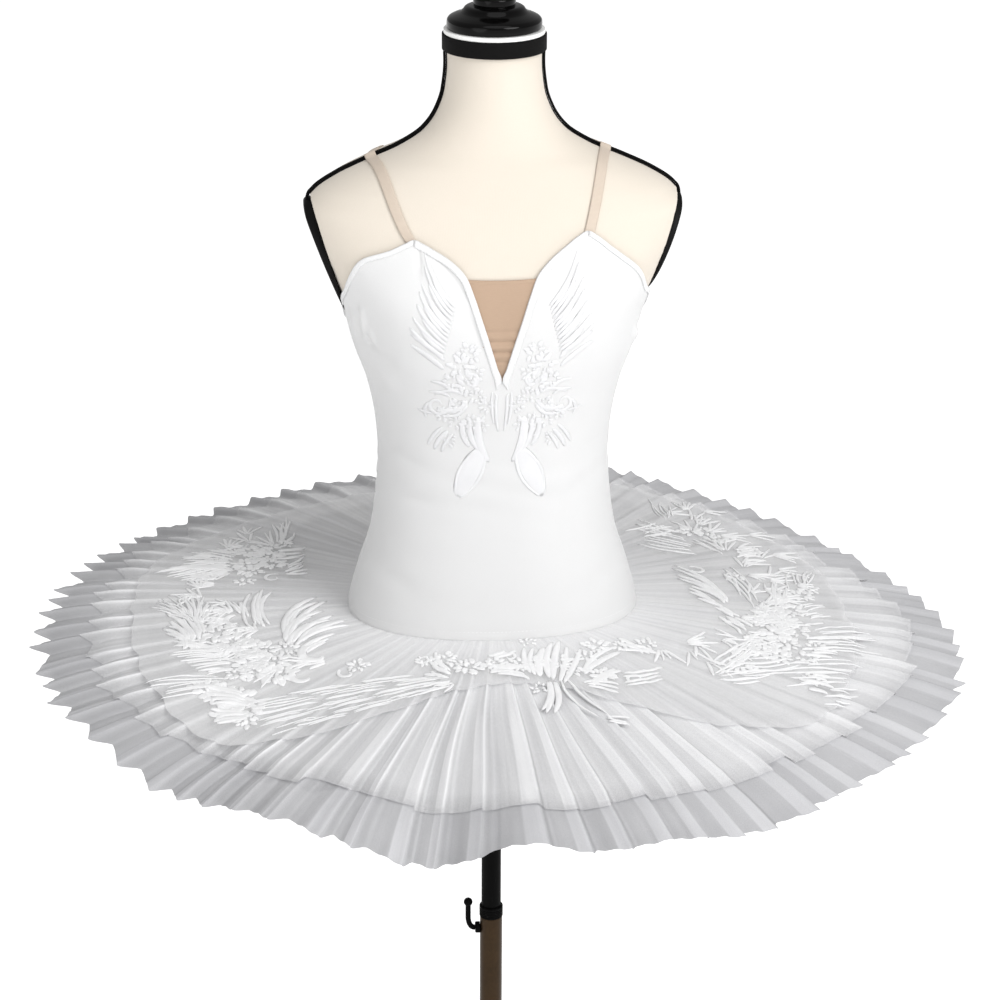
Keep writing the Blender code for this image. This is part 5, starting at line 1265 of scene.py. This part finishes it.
# The right side has its own arrangement, given in the same way.
RIGHT_SWATHS = [
    (138.4, 0.322, 147.3, 0.379, 137.4, 0.334, 142.2, 0.366, 5, 0.0016, 0.03),
    (129.3, 0.305, 143.9, 0.298, 119.2, 0.276, 134.6, 0.229, 8, 0.0017, 0.04),
    (127.8, 0.297, 116.4, 0.293, 128.8, 0.313, 117.8, 0.309, 4, 0.0022, 0.03),
    (119.7, 0.324, 120.1, 0.357, 113.0, 0.307, 112.5, 0.337, 6, 0.0026, 0.06),
    (110.5, 0.262, 83.3, 0.275, 112.4, 0.282, 86.5, 0.284, 5, 0.0022, 0.03),
    (89.7, 0.249, 116.1, 0.223, 87.9, 0.245, 103.6, 0.205, 4, 0.0044, -0.10),
    (87.9, 0.245, 101.8, 0.208, 85.4, 0.239, 91.2, 0.208, 3, 0.0040, -0.06),
    (75.5, 0.270, 82.3, 0.236, 71.1, 0.269, 76.1, 0.239, 3, 0.0034, -0.08),
    (68.8, 0.259, 73.0, 0.228, 66.6, 0.261, 67.9, 0.238, 2, 0.0018, 0.00),
    (98.5, 0.332, 107.4, 0.342, 99.3, 0.348, 106.0, 0.373, 6, 0.0018, 0.04),
    (86.5, 0.296, 104.8, 0.310, 88.9, 0.310, 101.6, 0.330, 6, 0.0021, 0.04),
    (88.3, 0.320, 91.0, 0.355, 81.3, 0.319, 84.6, 0.353, 6, 0.0014, 0.04),
    (78.2, 0.329, 83.3, 0.402, 72.2, 0.334, 73.9, 0.406, 8, 0.0012, 0.04),
    (74.7, 0.318, 77.5, 0.372, 66.9, 0.327, 70.7, 0.369, 5, 0.0034, 0.04),
    (63.5, 0.311, 70.4, 0.390, 56.1, 0.330, 65.1, 0.403, 9, 0.0013, 0.03),
    (62.4, 0.334, 63.3, 0.371, 57.6, 0.346, 58.3, 0.376, 3, 0.0034, 0.04),
    (59.7, 0.366, 63.1, 0.400, 54.9, 0.378, 57.1, 0.400, 5, 0.0012, 0.03),
    (70.4, 0.315, 62.0, 0.267, 62.2, 0.331, 49.3, 0.271, 8, 0.0017, 0.04),
    (62.2, 0.294, 54.6, 0.259, 56.7, 0.311, 46.6, 0.277, 6, 0.0015, 0.04),
    (84.4, 0.291, 93.2, 0.274, 78.2, 0.286, 84.3, 0.260, 4, 0.0020, 0.03),
    (71.3, 0.273, 50.0, 0.258, 66.6, 0.284, 48.2, 0.272, 6, 0.0022, 0.05),
    (80.8, 0.259, 89.4, 0.230, 75.0, 0.256, 80.3, 0.232, 4, 0.0030, 0.05),
    (136.8, 0.317, 141.0, 0.256, 132.1, 0.299, 134.4, 0.249, 5, 0.0015, 0.03),
]
RIGHT_CLUSTERS = [
    (131.1, 0.317, 0.016, 16), (129.5, 0.330, 0.015, 14), (125.3, 0.326, 0.015, 14),
    (117.2, 0.331, 0.015, 14), (84.4, 0.289, 0.020, 22), (81.5, 0.301, 0.020, 22),
    (74.9, 0.295, 0.019, 20), (86.9, 0.312, 0.018, 18), (79.2, 0.284, 0.016, 16),
    (71.5, 0.307, 0.018, 18), (66.6, 0.291, 0.017, 16), (94.3, 0.331, 0.017, 16),
    (97.6, 0.344, 0.014, 12), (77.9, 0.316, 0.016, 16), (66.0, 0.305, 0.018, 18),
    (104.3, 0.275, 0.013, 10), (67.8, 0.334, 0.014, 12), (58.2, 0.280, 0.014, 12),
    (72.3, 0.338, 0.013, 10), (60.9, 0.349, 0.013, 10),
]
# The left side's curls: angle, radius, size, half width, turns. The right side has the last one alone.
HOOKS = [
    (58.6, 0.216, 0.021, 0.0062, 0.62), (52.5, 0.250, 0.017, 0.0048, 0.60),
    (83.3, 0.268, 0.014, 0.0040, 0.60), (46.0, 0.218, 0.010, 0.0026, 0.80),
    (110.0, 0.240, 0.012, 0.0026, 0.90),
]
# The trail's two edges where it leaves the wing, half way and at its end: x and y of each.
TRAIL = np.array([
    ((-0.310, -0.204), (-0.262, -0.262)),
    ((-0.160, -0.170), (-0.160, -0.232)),
    ((-0.064, -0.168), (-0.052, -0.192)),
])
# Each side's arrangement, how loosely its strands lie, its number of small sprays, where they end, and
# how far outside the spine they stand at the back.
WINGS = {
    "left": (SWATHS, CLUSTERS, HOOKS, 1.0, 30, 134, 0.0),
    "right": (RIGHT_SWATHS, RIGHT_CLUSTERS, HOOKS[-1:], 1.8, 46, 140, 0.022),
}


def trail(draw):
    """Rows drawn together from the wing's end towards the front, on quadratic curves."""
    share = np.sort(np.linspace(0, 1, 15) + draw.uniform(-0.04, 0.04, 15))[:, None]
    first, middle, last = ((edges[0] + (edges[1] - edges[0]) * share)[:, None] for edges in TRAIL)
    lean = middle * 2 - (first + last) / 2
    t = np.linspace(0, 1, 40)[None, :, None]
    return dashes(first * (1 - t) ** 2 + lean * 2 * t * (1 - t) + last * t**2, on_veil, draw)


def skirt_wings():
    """On each side: sprays of fingers, blossoms and curls; on the left a trail runs on towards the front."""
    made = []
    for name, sign in SIDES.items():
        swaths, clusters, hooks, loose, sprays, furthest, outside = WINGS[name]
        draw = np.random.default_rng(31)

        def outward(angle, lean):
            """Heading in the plan, in degrees: away from the axis, turned towards the back by lean."""
            return sign * (angle + lean) - 90

        blocks = []
        for row in swaths:
            spines = swath(row, sign, round(1.3 * row[8]),
                           0.20 * loose, 0.14 * loose, 0.0017 * loose, 0.035, draw)
            blocks.append(fingers(spines, 0.80 * row[9], 0.0012 + 0.18 * row[9], on_veil, draw))
        for angle, radius, size, count in clusters:
            blocks.append(cluster(plan(sign * angle, radius), size, count, on_veil, draw))
        # Small sprays that close the gaps along the wing.
        for angle in np.linspace(54, furthest, sprays):
            radius = float(wing_spine_at(angle)) + outside * float(ease(angle, 60, 90))
            root = plan(sign * angle, radius + draw.uniform(-0.022 * loose, 0.018))
            count = int(draw.integers(3, 6))
            heading = outward(angle, draw.uniform(-50, 70))
            spines = fan_spines(root, heading, 24, draw.uniform(0.018, 0.040, count), 8, 9, 0.004)
            blocks.append(fingers(spines, 0.0019, 0.0013, on_veil, draw))
        for angle, radius, size, half, turns in hooks:
            blocks.append(hook(plan(sign * angle, radius), size, half, turns,
                               outward(angle, 100), -sign, on_veil))
        if name == "left":
            blocks.append(trail(draw))
        obj = surface(f"feather_wing_{name}", blocks)
        made.append(settle(obj, "figure", "lace", LACE, f"applique_skirt_{name}"))
    return made


# Front of the skirt, angle to the right of the middle: as above, for the whole garland.
CREST_SWATHS = [
    (-19.1, 0.169, -31.0, 0.132, -18.0, 0.184, -26.0, 0.176, 5, 0.0034, 0.10),
    (-17.3, 0.192, -24.0, 0.204, -16.0, 0.196, -18.0, 0.218, 3, 0.0026, 0.05),
    (-7.9, 0.151, 9.6, 0.154, -7.9, 0.156, 9.0, 0.166, 3, 0.0042, -0.16),
    (-5.3, 0.171, 7.6, 0.179, -4.0, 0.176, 7.0, 0.190, 2, 0.0038, 0.16),
    (-6.8, 0.139, 2.4, 0.124, -3.0, 0.142, 6.0, 0.128, 3, 0.0032, -0.10),
    (10.3, 0.185, 23.0, 0.114, 13.0, 0.196, 30.1, 0.120, 3, 0.0050, 0.08),
    (14.0, 0.200, 33.0, 0.126, 15.5, 0.206, 37.6, 0.136, 2, 0.0046, -0.06),
    (7.9, 0.178, 10.6, 0.112, 9.0, 0.182, 15.0, 0.114, 2, 0.0042, 0.06),
    (11.1, 0.194, 5.5, 0.258, 13.0, 0.196, 8.0, 0.266, 3, 0.0040, 0.08),
    (15.4, 0.190, 18.2, 0.284, 17.0, 0.192, 20.0, 0.280, 2, 0.0022, -0.05),
    (18.2, 0.284, 22.3, 0.294, 19.0, 0.276, 23.5, 0.284, 3, 0.0026, 0.08),
    (22.9, 0.208, 35.2, 0.196, 22.0, 0.214, 34.0, 0.208, 3, 0.0044, 0.12),
    (22.9, 0.188, 45.7, 0.166, 22.5, 0.194, 43.0, 0.178, 3, 0.0040, 0.10),
    (20.5, 0.206, 30.4, 0.228, 21.0, 0.212, 27.0, 0.238, 3, 0.0034, 0.06),
    (49.9, 0.155, 46.9, 0.196, 43.5, 0.171, 51.4, 0.216, 4, 0.0036, 0.12),
    (32.9, 0.205, 47.0, 0.226, 30.2, 0.226, 41.0, 0.240, 4, 0.0026, -0.06),
]
CREST_CLUSTERS = [
    (-23, 0.151, 0.015, 16), (-13, 0.161, 0.017, 20), (-4, 0.157, 0.015, 16), (5, 0.158, 0.014, 16),
    (11, 0.157, 0.016, 18), (13.5, 0.112, 0.010, 9), (28, 0.200, 0.015, 16), (20, 0.162, 0.015, 16),
    (39, 0.150, 0.015, 16), (31, 0.162, 0.012, 12), (53, 0.184, 0.012, 12), (8, 0.206, 0.010, 9),
    (-30, 0.160, 0.011, 10), (46, 0.168, 0.011, 10), (21, 0.180, 0.013, 12),
]
CREST_HOOKS = [(-31, 0.158, 200, 1), (2, 0.140, 150, -1), (34, 0.222, 20, 1)]  # angle, radius, start, hand


def skirt_crest():
    """Front centre: a garland of blossoms and leaves, with sprays that hang over the pleats to the right."""
    draw = np.random.default_rng(37)
    blocks = []
    for row in CREST_SWATHS:
        spines = swath(row, 1.0, row[8], 0.18, 0.0, 0.0014, 0.03, draw)
        blocks.append(fingers(spines, 0.85 * row[9], 0.0008 + 0.10 * row[9], on_veil, draw))
    for angle, radius, size, count in CREST_CLUSTERS:
        blocks.append(cluster(plan(angle, radius), size, count, on_veil, draw))
    for angle, radius, start, hand in CREST_HOOKS:
        blocks.append(hook(plan(angle, radius), 0.009, 0.0022, 0.9, start, hand, on_veil))
    return [settle(surface("feather_crest_front", blocks), "figure", "lace", LACE, "applique_skirt_front")]


def on_satin(x, z, h):
    """Lifts front coordinates onto the bodice."""
    return on_front(x, z, BODICE_OUTSIDE + creased(x, z) + 0.0002 + h)


# Right half of the bodice: a strand's start and end in x and z, its bow as a share of its length, and
# its half width.
STRANDS = [
    (0.0560, 1.2300, 0.0900, 1.2560, 0.04, 0.0030), (0.0550, 1.2390, 0.0900, 1.2670, 0.05, 0.0028),
    (0.0660, 1.1800, 0.0815, 1.1835, -0.06, 0.0019), (0.0050, 1.2060, 0.0026, 1.1600, 0.03, 0.0014),
    (0.0092, 1.2070, 0.0064, 1.1680, 0.04, 0.0013), (0.0160, 1.1450, 0.0430, 1.0880, 0.18, 0.0015),
    (0.0160, 1.1450, 0.0430, 1.0880, -0.16, 0.0017), (0.0170, 1.1440, 0.0428, 1.0890, 0.02, 0.0100),
    (0.0560, 1.1660, 0.0710, 1.1430, 0.08, 0.0023), (0.0510, 1.1620, 0.0650, 1.1390, 0.08, 0.0022),
    (0.0460, 1.1590, 0.0580, 1.1370, 0.08, 0.0021), (0.0360, 1.2020, 0.0660, 1.2000, 0.20, 0.0022),
    (0.0330, 1.1980, 0.0640, 1.1880, -0.26, 0.0024), (0.0330, 1.1930, 0.0600, 1.1790, -0.22, 0.0020),
    (0.0480, 1.2050, 0.0700, 1.2160, 0.16, 0.0026), (0.0500, 1.2000, 0.0715, 1.2040, 0.12, 0.0022),
    (0.0220, 1.1800, 0.0105, 1.1270, 0.10, 0.0040), (0.0300, 1.1780, 0.0200, 1.1390, 0.12, 0.0034),
    (0.0380, 1.1740, 0.0300, 1.1440, 0.10, 0.0028), (0.0690, 1.1930, 0.0720, 1.1740, 0.20, 0.0021),
]
BODICE_CLUSTERS = [  # x, z, size, petals
    (0.0330, 1.2480, 0.0120, 14), (0.0400, 1.2340, 0.0140, 16), (0.0270, 1.2260, 0.0105, 12),
    (0.0480, 1.2180, 0.0120, 14), (0.0350, 1.2120, 0.0120, 14), (0.0240, 1.2000, 0.0100, 12),
    (0.0290, 1.1720, 0.0110, 12), (0.0440, 1.1720, 0.0100, 10), (0.0560, 1.1800, 0.0090, 10),
    (0.0310, 1.1560, 0.0080, 8), (0.0150, 1.1900, 0.0090, 11), (0.0200, 1.1700, 0.0085, 10),
    (0.0500, 1.1520, 0.0080, 8), (0.0420, 1.1900, 0.0100, 12),
]
BODICE_HOOKS = [(0.0300, 1.2180, 0.0090, 0.0021, 0.9, 60), (0.0620, 1.1900, 0.0125, 0.0024, 1.1, 150)]


def bodice_wings():
    """On each side of the V: a bundle of long strands, blossoms by the edge, an almond, drops and leaves."""
    edge_x, edge_z = FRONT_EDGE[: PEAK + 1, 0], FRONT_EDGE[: PEAK + 1, 1]
    table = np.array(STRANDS)
    made = []
    for name, sign in SIDES.items():
        draw = np.random.default_rng(41)

        def seat(x, z, h):
            """Keeps points off the binding and the middle line, then lifts them onto the satin."""
            least = np.where(z > 1.204, np.interp(z, edge_z, edge_x) + 0.0085, 0.0020)
            return on_satin(sign * np.maximum(x, least), z, h)

        share = np.linspace(0, 1, 13)[:, None]
        odd = (np.arange(13) % 2)[:, None]
        outer = np.array([0.0890, 1.2740]) + share * (-0.0160, 0.0740)
        outer = outer + draw.uniform(-0.0014, 0.0014, (13, 2))
        inner = np.array([0.0560, 1.2440]) + share * (-0.0120, 0.0500)
        outer = outer + odd * (inner - outer) * 0.20
        bundle = bowed(inner, outer, -0.05 - 0.03 * share[:, 0], 15)
        blocks = [fingers(bundle, 0.0026 - 0.0006 * share - 0.0002 * odd, 0.0013, seat, draw),
                  fingers(bowed(table[:, :2], table[:, 2:4], table[:, 4]), table[:, 5:6], 0.0009, seat, draw)]
        for x, z, size, count in BODICE_CLUSTERS:
            blocks.append(cluster((x, z), size, count, lambda u, v, h: seat(u, v, 0.62 * h), draw))
        for x, z, size, half, turns, start in BODICE_HOOKS:
            blocks.append(hook((x, z), size, half, turns, start, 1, seat))
        obj = surface(f"feather_bodice_{name}", blocks)
        made.append(settle(obj, "figure", "lace", SOFT_LACE, f"applique_bodice_{name}"))
    return made


# ---------------------------------------------------------------- the briefs
def briefs():
    """Front and back panels with leg openings, and a gusset beside the pole."""
    front_end = math.degrees(float(angle_of(GUSSET_HALF, LEG_LOW, SKIN_GAP)))

    def leg(degrees):
        """Height of the leg opening's edge at an angle from the front."""
        share = np.clip((np.minimum(degrees, 180 - degrees) - front_end) / (90 - front_end), 0, 1)
        return LEG_LOW + (LEG_HIGH - LEG_LOW) * share**0.8

    for name, start, end in (("front", -89.88, 89.88), ("back", 90.12, 269.88)):
        degrees = np.linspace(start, end, 100)
        across = np.abs(degrees) if name == "front" else 180 - np.abs(degrees - 180)
        low = leg(across)
        z = low + (BRIEFS_TOP - low) * np.linspace(0, 1, 26)[:, None]
        roll = 0.0009 * bell(z - low - 0.0030, 0.0022)
        points = torso(np.radians(degrees) + 0 * z, z, SKIN_GAP + CLOTH + roll)
        obj = surface(f"satin_briefs_{name}", [(points, {})], facing="out")
        thicken(obj, CLOTH)
        settle(obj, "figure", "satin", SATIN, f"briefs_{name}")

    # The gusset's rays fan out below the hub, from front to back, and bow aside round the pole.
    first, last = 24.0, 157.5
    turn = np.linspace(first, last, 110)
    aside = POLE_BOW * np.sin(math.pi * (turn - first) / (last - first)) ** 1.5
    beside = GUSSET_HALF * np.linspace(-1, 1, 13)
    hub = np.zeros((len(turn), len(beside), 3)) + (0, 0, 0.870)
    hub[..., 0] = aside[:, None] + beside
    way = np.stack([0 * turn, -np.cos(np.radians(turn)), -np.sin(np.radians(turn))], -1)
    ways = np.broadcast_to(way[:, None], hub.shape)
    points = ray_out(hub, ways, SKIN_GAP + 0.0002) + ways * 0.0014
    obj = surface("satin_gusset", [(points, {})], facing=(0, 0, -1))
    thicken(obj, 0.0012)
    settle(obj, "figure", "satin", SATIN, "briefs_gusset")


# ---------------------------------------------------------------- the stand
TUBE_BORE, TUBE_OUTSIDE, COLLAR_OUTSIDE, GROOVE = 0.0109, 0.0121, 0.0127, 0.0123
BASE_PROFILE = [
    (0, 0.045), (0.0165, 0.045), (0.0180, 0.0435), (0.0190, 0.0240), (0.0212, 0.0205), (0.0260, 0.0185),
    (0.0500, 0.0150), (0.150, 0.0100), (0.167, 0.0080), (0.170, 0.0050), (0.170, 0.0015), (0.1685, 0.0),
    (0, 0.0),
]
TUBE_PROFILE = [
    (TUBE_BORE, 0.5707), (TUBE_OUTSIDE, 0.5707), (TUBE_OUTSIDE, 0.0453), (TUBE_BORE, 0.0453),
]
POLE_PROFILE = [(0, 0.7994), (0.0099, 0.7994), (0.0105, 0.7988), (0.0105, 0.2400), (0, 0.2400)]
SOCKET_PROFILE = [
    (0.0109, 0.7997), (0.0200, 0.7997), (0.0200, 0.7965), (0.0131, 0.7953), (0.0131, 0.7520),
    (0.0109, 0.7520),
]
CLAMP_HEIGHT, LEVER_OUT = 0.5565, -0.0250  # the screw's height and the lever's x
BOSS_PROFILE = np.array([  # distance from the tube's middle, radius
    (0.0124, 0.0), (0.0124, 0.0062), (0.0132, 0.0062), (0.0166, 0.0062), (0.0173, 0.0055), (0.0173, 0.0),
])


def stand():
    """A round base with a hub, the outer tube, its collar, the pole and the socket under the form."""
    collar = [(TUBE_BORE, 0.5845), (0.0115, 0.5845), (COLLAR_OUTSIDE, 0.5833)]
    for k in range(5):
        z = 0.5815 - 0.0019 * k
        collar += [(COLLAR_OUTSIDE, z), (GROOVE, z - 0.0004),
                   (GROOVE, z - 0.0008), (COLLAR_OUTSIDE, z - 0.0012)]
    collar += [(COLLAR_OUTSIDE, 0.5716), (TUBE_OUTSIDE, 0.5710), (TUBE_BORE, 0.5710)]
    for name, profile, options, body, slot, finish, node in (
        ("base_disc", BASE_PROFILE, dict(steps=128, crisp=45), "stand", "black_metal", POWDER, "stand_base"),
        ("outer_tube", TUBE_PROFILE, dict(hollow=True, radius=0.0005),
         "stand", "bronze_metal", BRONZE, "stand_tube"),
        ("tube_collar", collar, dict(hollow=True, radius=0.0003),
         "stand", "black_metal", POWDER, "stand_collar"),
        ("inner_pole", POLE_PROFILE, {}, "mast", "black_metal", POWDER, "pole"),
        ("form_flange", SOCKET_PROFILE, dict(hollow=True), "figure", "black_metal", POWDER, "form_socket"),
    ):
        settle(turned(name, profile, **options), body, slot, finish, node)


def clamp():
    """The clamp's boss on the tube, and its bent lever with a ball at the end."""
    turn = full_turn(40)
    out, r = BOSS_PROFILE[:, :1], BOSS_PROFILE[:, 1:]
    points = np.stack(np.broadcast_arrays(-out, r * np.cos(turn), CLAMP_HEIGHT + r * np.sin(turn)), -1)
    boss = surface("lever_boss", [(points, dict(ring=True))], crisp=35)
    settle(boss, "stand", "black_metal", POWDER, "clamp_boss")
    k = np.radians(np.linspace(0, 90, 14))
    elbow = np.stack([LEVER_OUT + 0.0066 * (1 - np.sin(k)), 0 * k,
                      CLAMP_HEIGHT + 0.0130 * (1 - np.cos(k))], -1)
    path = np.concatenate([[(-0.0176, 0, CLAMP_HEIGHT)], elbow, [(LEVER_OUT, 0, 0.5865)]])
    ball, middle = 0.0048, 0.5880
    t = np.linspace(0, math.pi, 18)[:, None]
    level = ball * np.sin(t)
    knob = np.stack(np.broadcast_arrays(
        LEVER_OUT + level * np.cos(turn), level * np.sin(turn), middle - ball * np.cos(t)), -1)
    lever = surface("lever_handle", [rod_block(path, 0.0029, 20), (knob, dict(ring=True))], crisp=50)
    settle(lever, "clamp", "black_metal", POWDER, "clamp_lever")


# ---------------------------------------------------------------- sewing
def sewing():
    """Stitches along the side seams and the hip seam, and hooks down the back."""
    z = np.linspace(HIP_SEAM + 0.006, 1.268, 120)
    paths = [torso(math.radians(sign * (90 + aside)) + 0 * z, z, BODICE_OUTSIDE - 0.0001)
             for sign in SIDES.values() for aside in (-0.9, 0.9)]
    blocks = [stitch_block(path, 0.0040, 0.0026, 0.0003) for path in paths]
    alpha = np.linspace(-math.pi, math.pi, 500)
    ring = torso(alpha, HIP_SEAM + 0.0072 + 0 * alpha, BODICE_OUTSIDE - 0.0004)
    blocks.append(stitch_block(ring, 0.0042, 0.0028, 0.0003))
    settle(surface("seam_stitches", blocks), "figure", "satin", THREAD)

    t = np.linspace(0, 1, 12)
    alpha = math.pi + (t - 0.5) * 0.085
    out = BODICE_OUTSIDE + 0.0002 + 0.0012 * np.sin(math.pi * t)
    blocks = [rod_block(torso(alpha, z + 0 * t, out), 0.0004, 6) for z in np.arange(0.965, 1.240, 0.0175)]
    settle(surface("back_hooks", blocks), "figure", "satin", STEEL)


dress_form()
arm_plates()
shoulder_piping()
neck_fittings()
front, back = bodice_panels()
edges = edge_bindings()
neck_bindings() + edges["left"] + edges["right"] + bodice_wings()
modesty_insert()
straps()
veil = skirt_layers()
skirt_wings() + skirt_crest()
briefs()
stand()
clamp()
sewing()


# ---------------------------------------------------------------- floor, light and camera
def studio():
    """A pale floor, a large soft key from the right front, two weak wide lights and an even surround."""
    made = Finish("studio_floor", Base_Color=(0.82, 0.82, 0.82, 1.0), Roughness=0.9)
    made.shader.inputs["Emission Color"].default_value = (1.0, 1.0, 1.0, 1.0)
    made.shader.inputs["Emission Strength"].default_value = 0.70
    grain = made.noise(made.place("Object"), 0.6, 2.0)
    made.colour(made.mix(grain, (0.80, 0.80, 0.80, 1.0), (0.84, 0.84, 0.84, 1.0)))
    size = 40.0
    points = np.array([[(-size, -size, 0), (size, -size, 0)], [(-size, size, 0), (size, size, 0)]], float)
    floor = surface("floor", [(points, {})], facing="up")
    floor.data.materials.append(made.material)

    world = bpy.data.worlds.new("studio")
    bpy.context.scene.world = world
    world.use_nodes = True
    back = world.node_tree.nodes["Background"]
    back.inputs["Color"].default_value = (1.0, 1.0, 1.0, 1.0)
    back.inputs["Strength"].default_value = 0.40

    for name, place, aim, size, power in (
        ("key", (2.85, -3.45, 3.8), (0.0, 0.0, 1.02), 3.2, 170.0),
        ("fill", (-2.8, -3.2, 2.0), (0.0, 0.0, 1.1), 3.0, 30.0),
        ("top", (0.2, -1.5, 4.4), (0.0, -0.1, 0.9), 3.0, 31.0),
    ):
        data = bpy.data.lights.new(name, "AREA")
        data.shape = "DISK"
        data.size = size
        data.energy = power
        lamp = bpy.data.objects.new(name, data)
        lamp.location = place
        way = np.array(aim) - np.array(place)
        level = math.hypot(way[0], way[1])
        lamp.rotation_euler = (math.atan2(level, -way[2]), 0.0, math.atan2(-way[0], way[1]))
        bpy.context.scene.collection.objects.link(lamp)


def camera():
    """Looks down 21.37 degrees from 2.8 m in front, turned 5 degrees to the left of square."""
    turn, pitch, roll = math.radians(-5.0), math.radians(21.37), math.radians(-0.2535)
    away, aside, height = 2.8, 0.0027, 2.15
    data = bpy.data.cameras.new("view")
    data.sensor_width = 36.0
    data.lens = data.sensor_width * 2932 / 1000  # the view's width is 1000 where the focal length is 2932
    data.clip_end = 100.0
    obj = bpy.data.objects.new("view", data)
    obj.location = (math.sin(turn) * away + aside * math.cos(turn),
                    -math.cos(turn) * away + aside * math.sin(turn), height)
    obj.rotation_euler = (math.pi / 2 - pitch, roll, turn)
    bpy.context.scene.collection.objects.link(obj)
    bpy.context.scene.camera = obj


studio()
camera()
bpy.context.scene.view_settings.view_transform = "Standard"
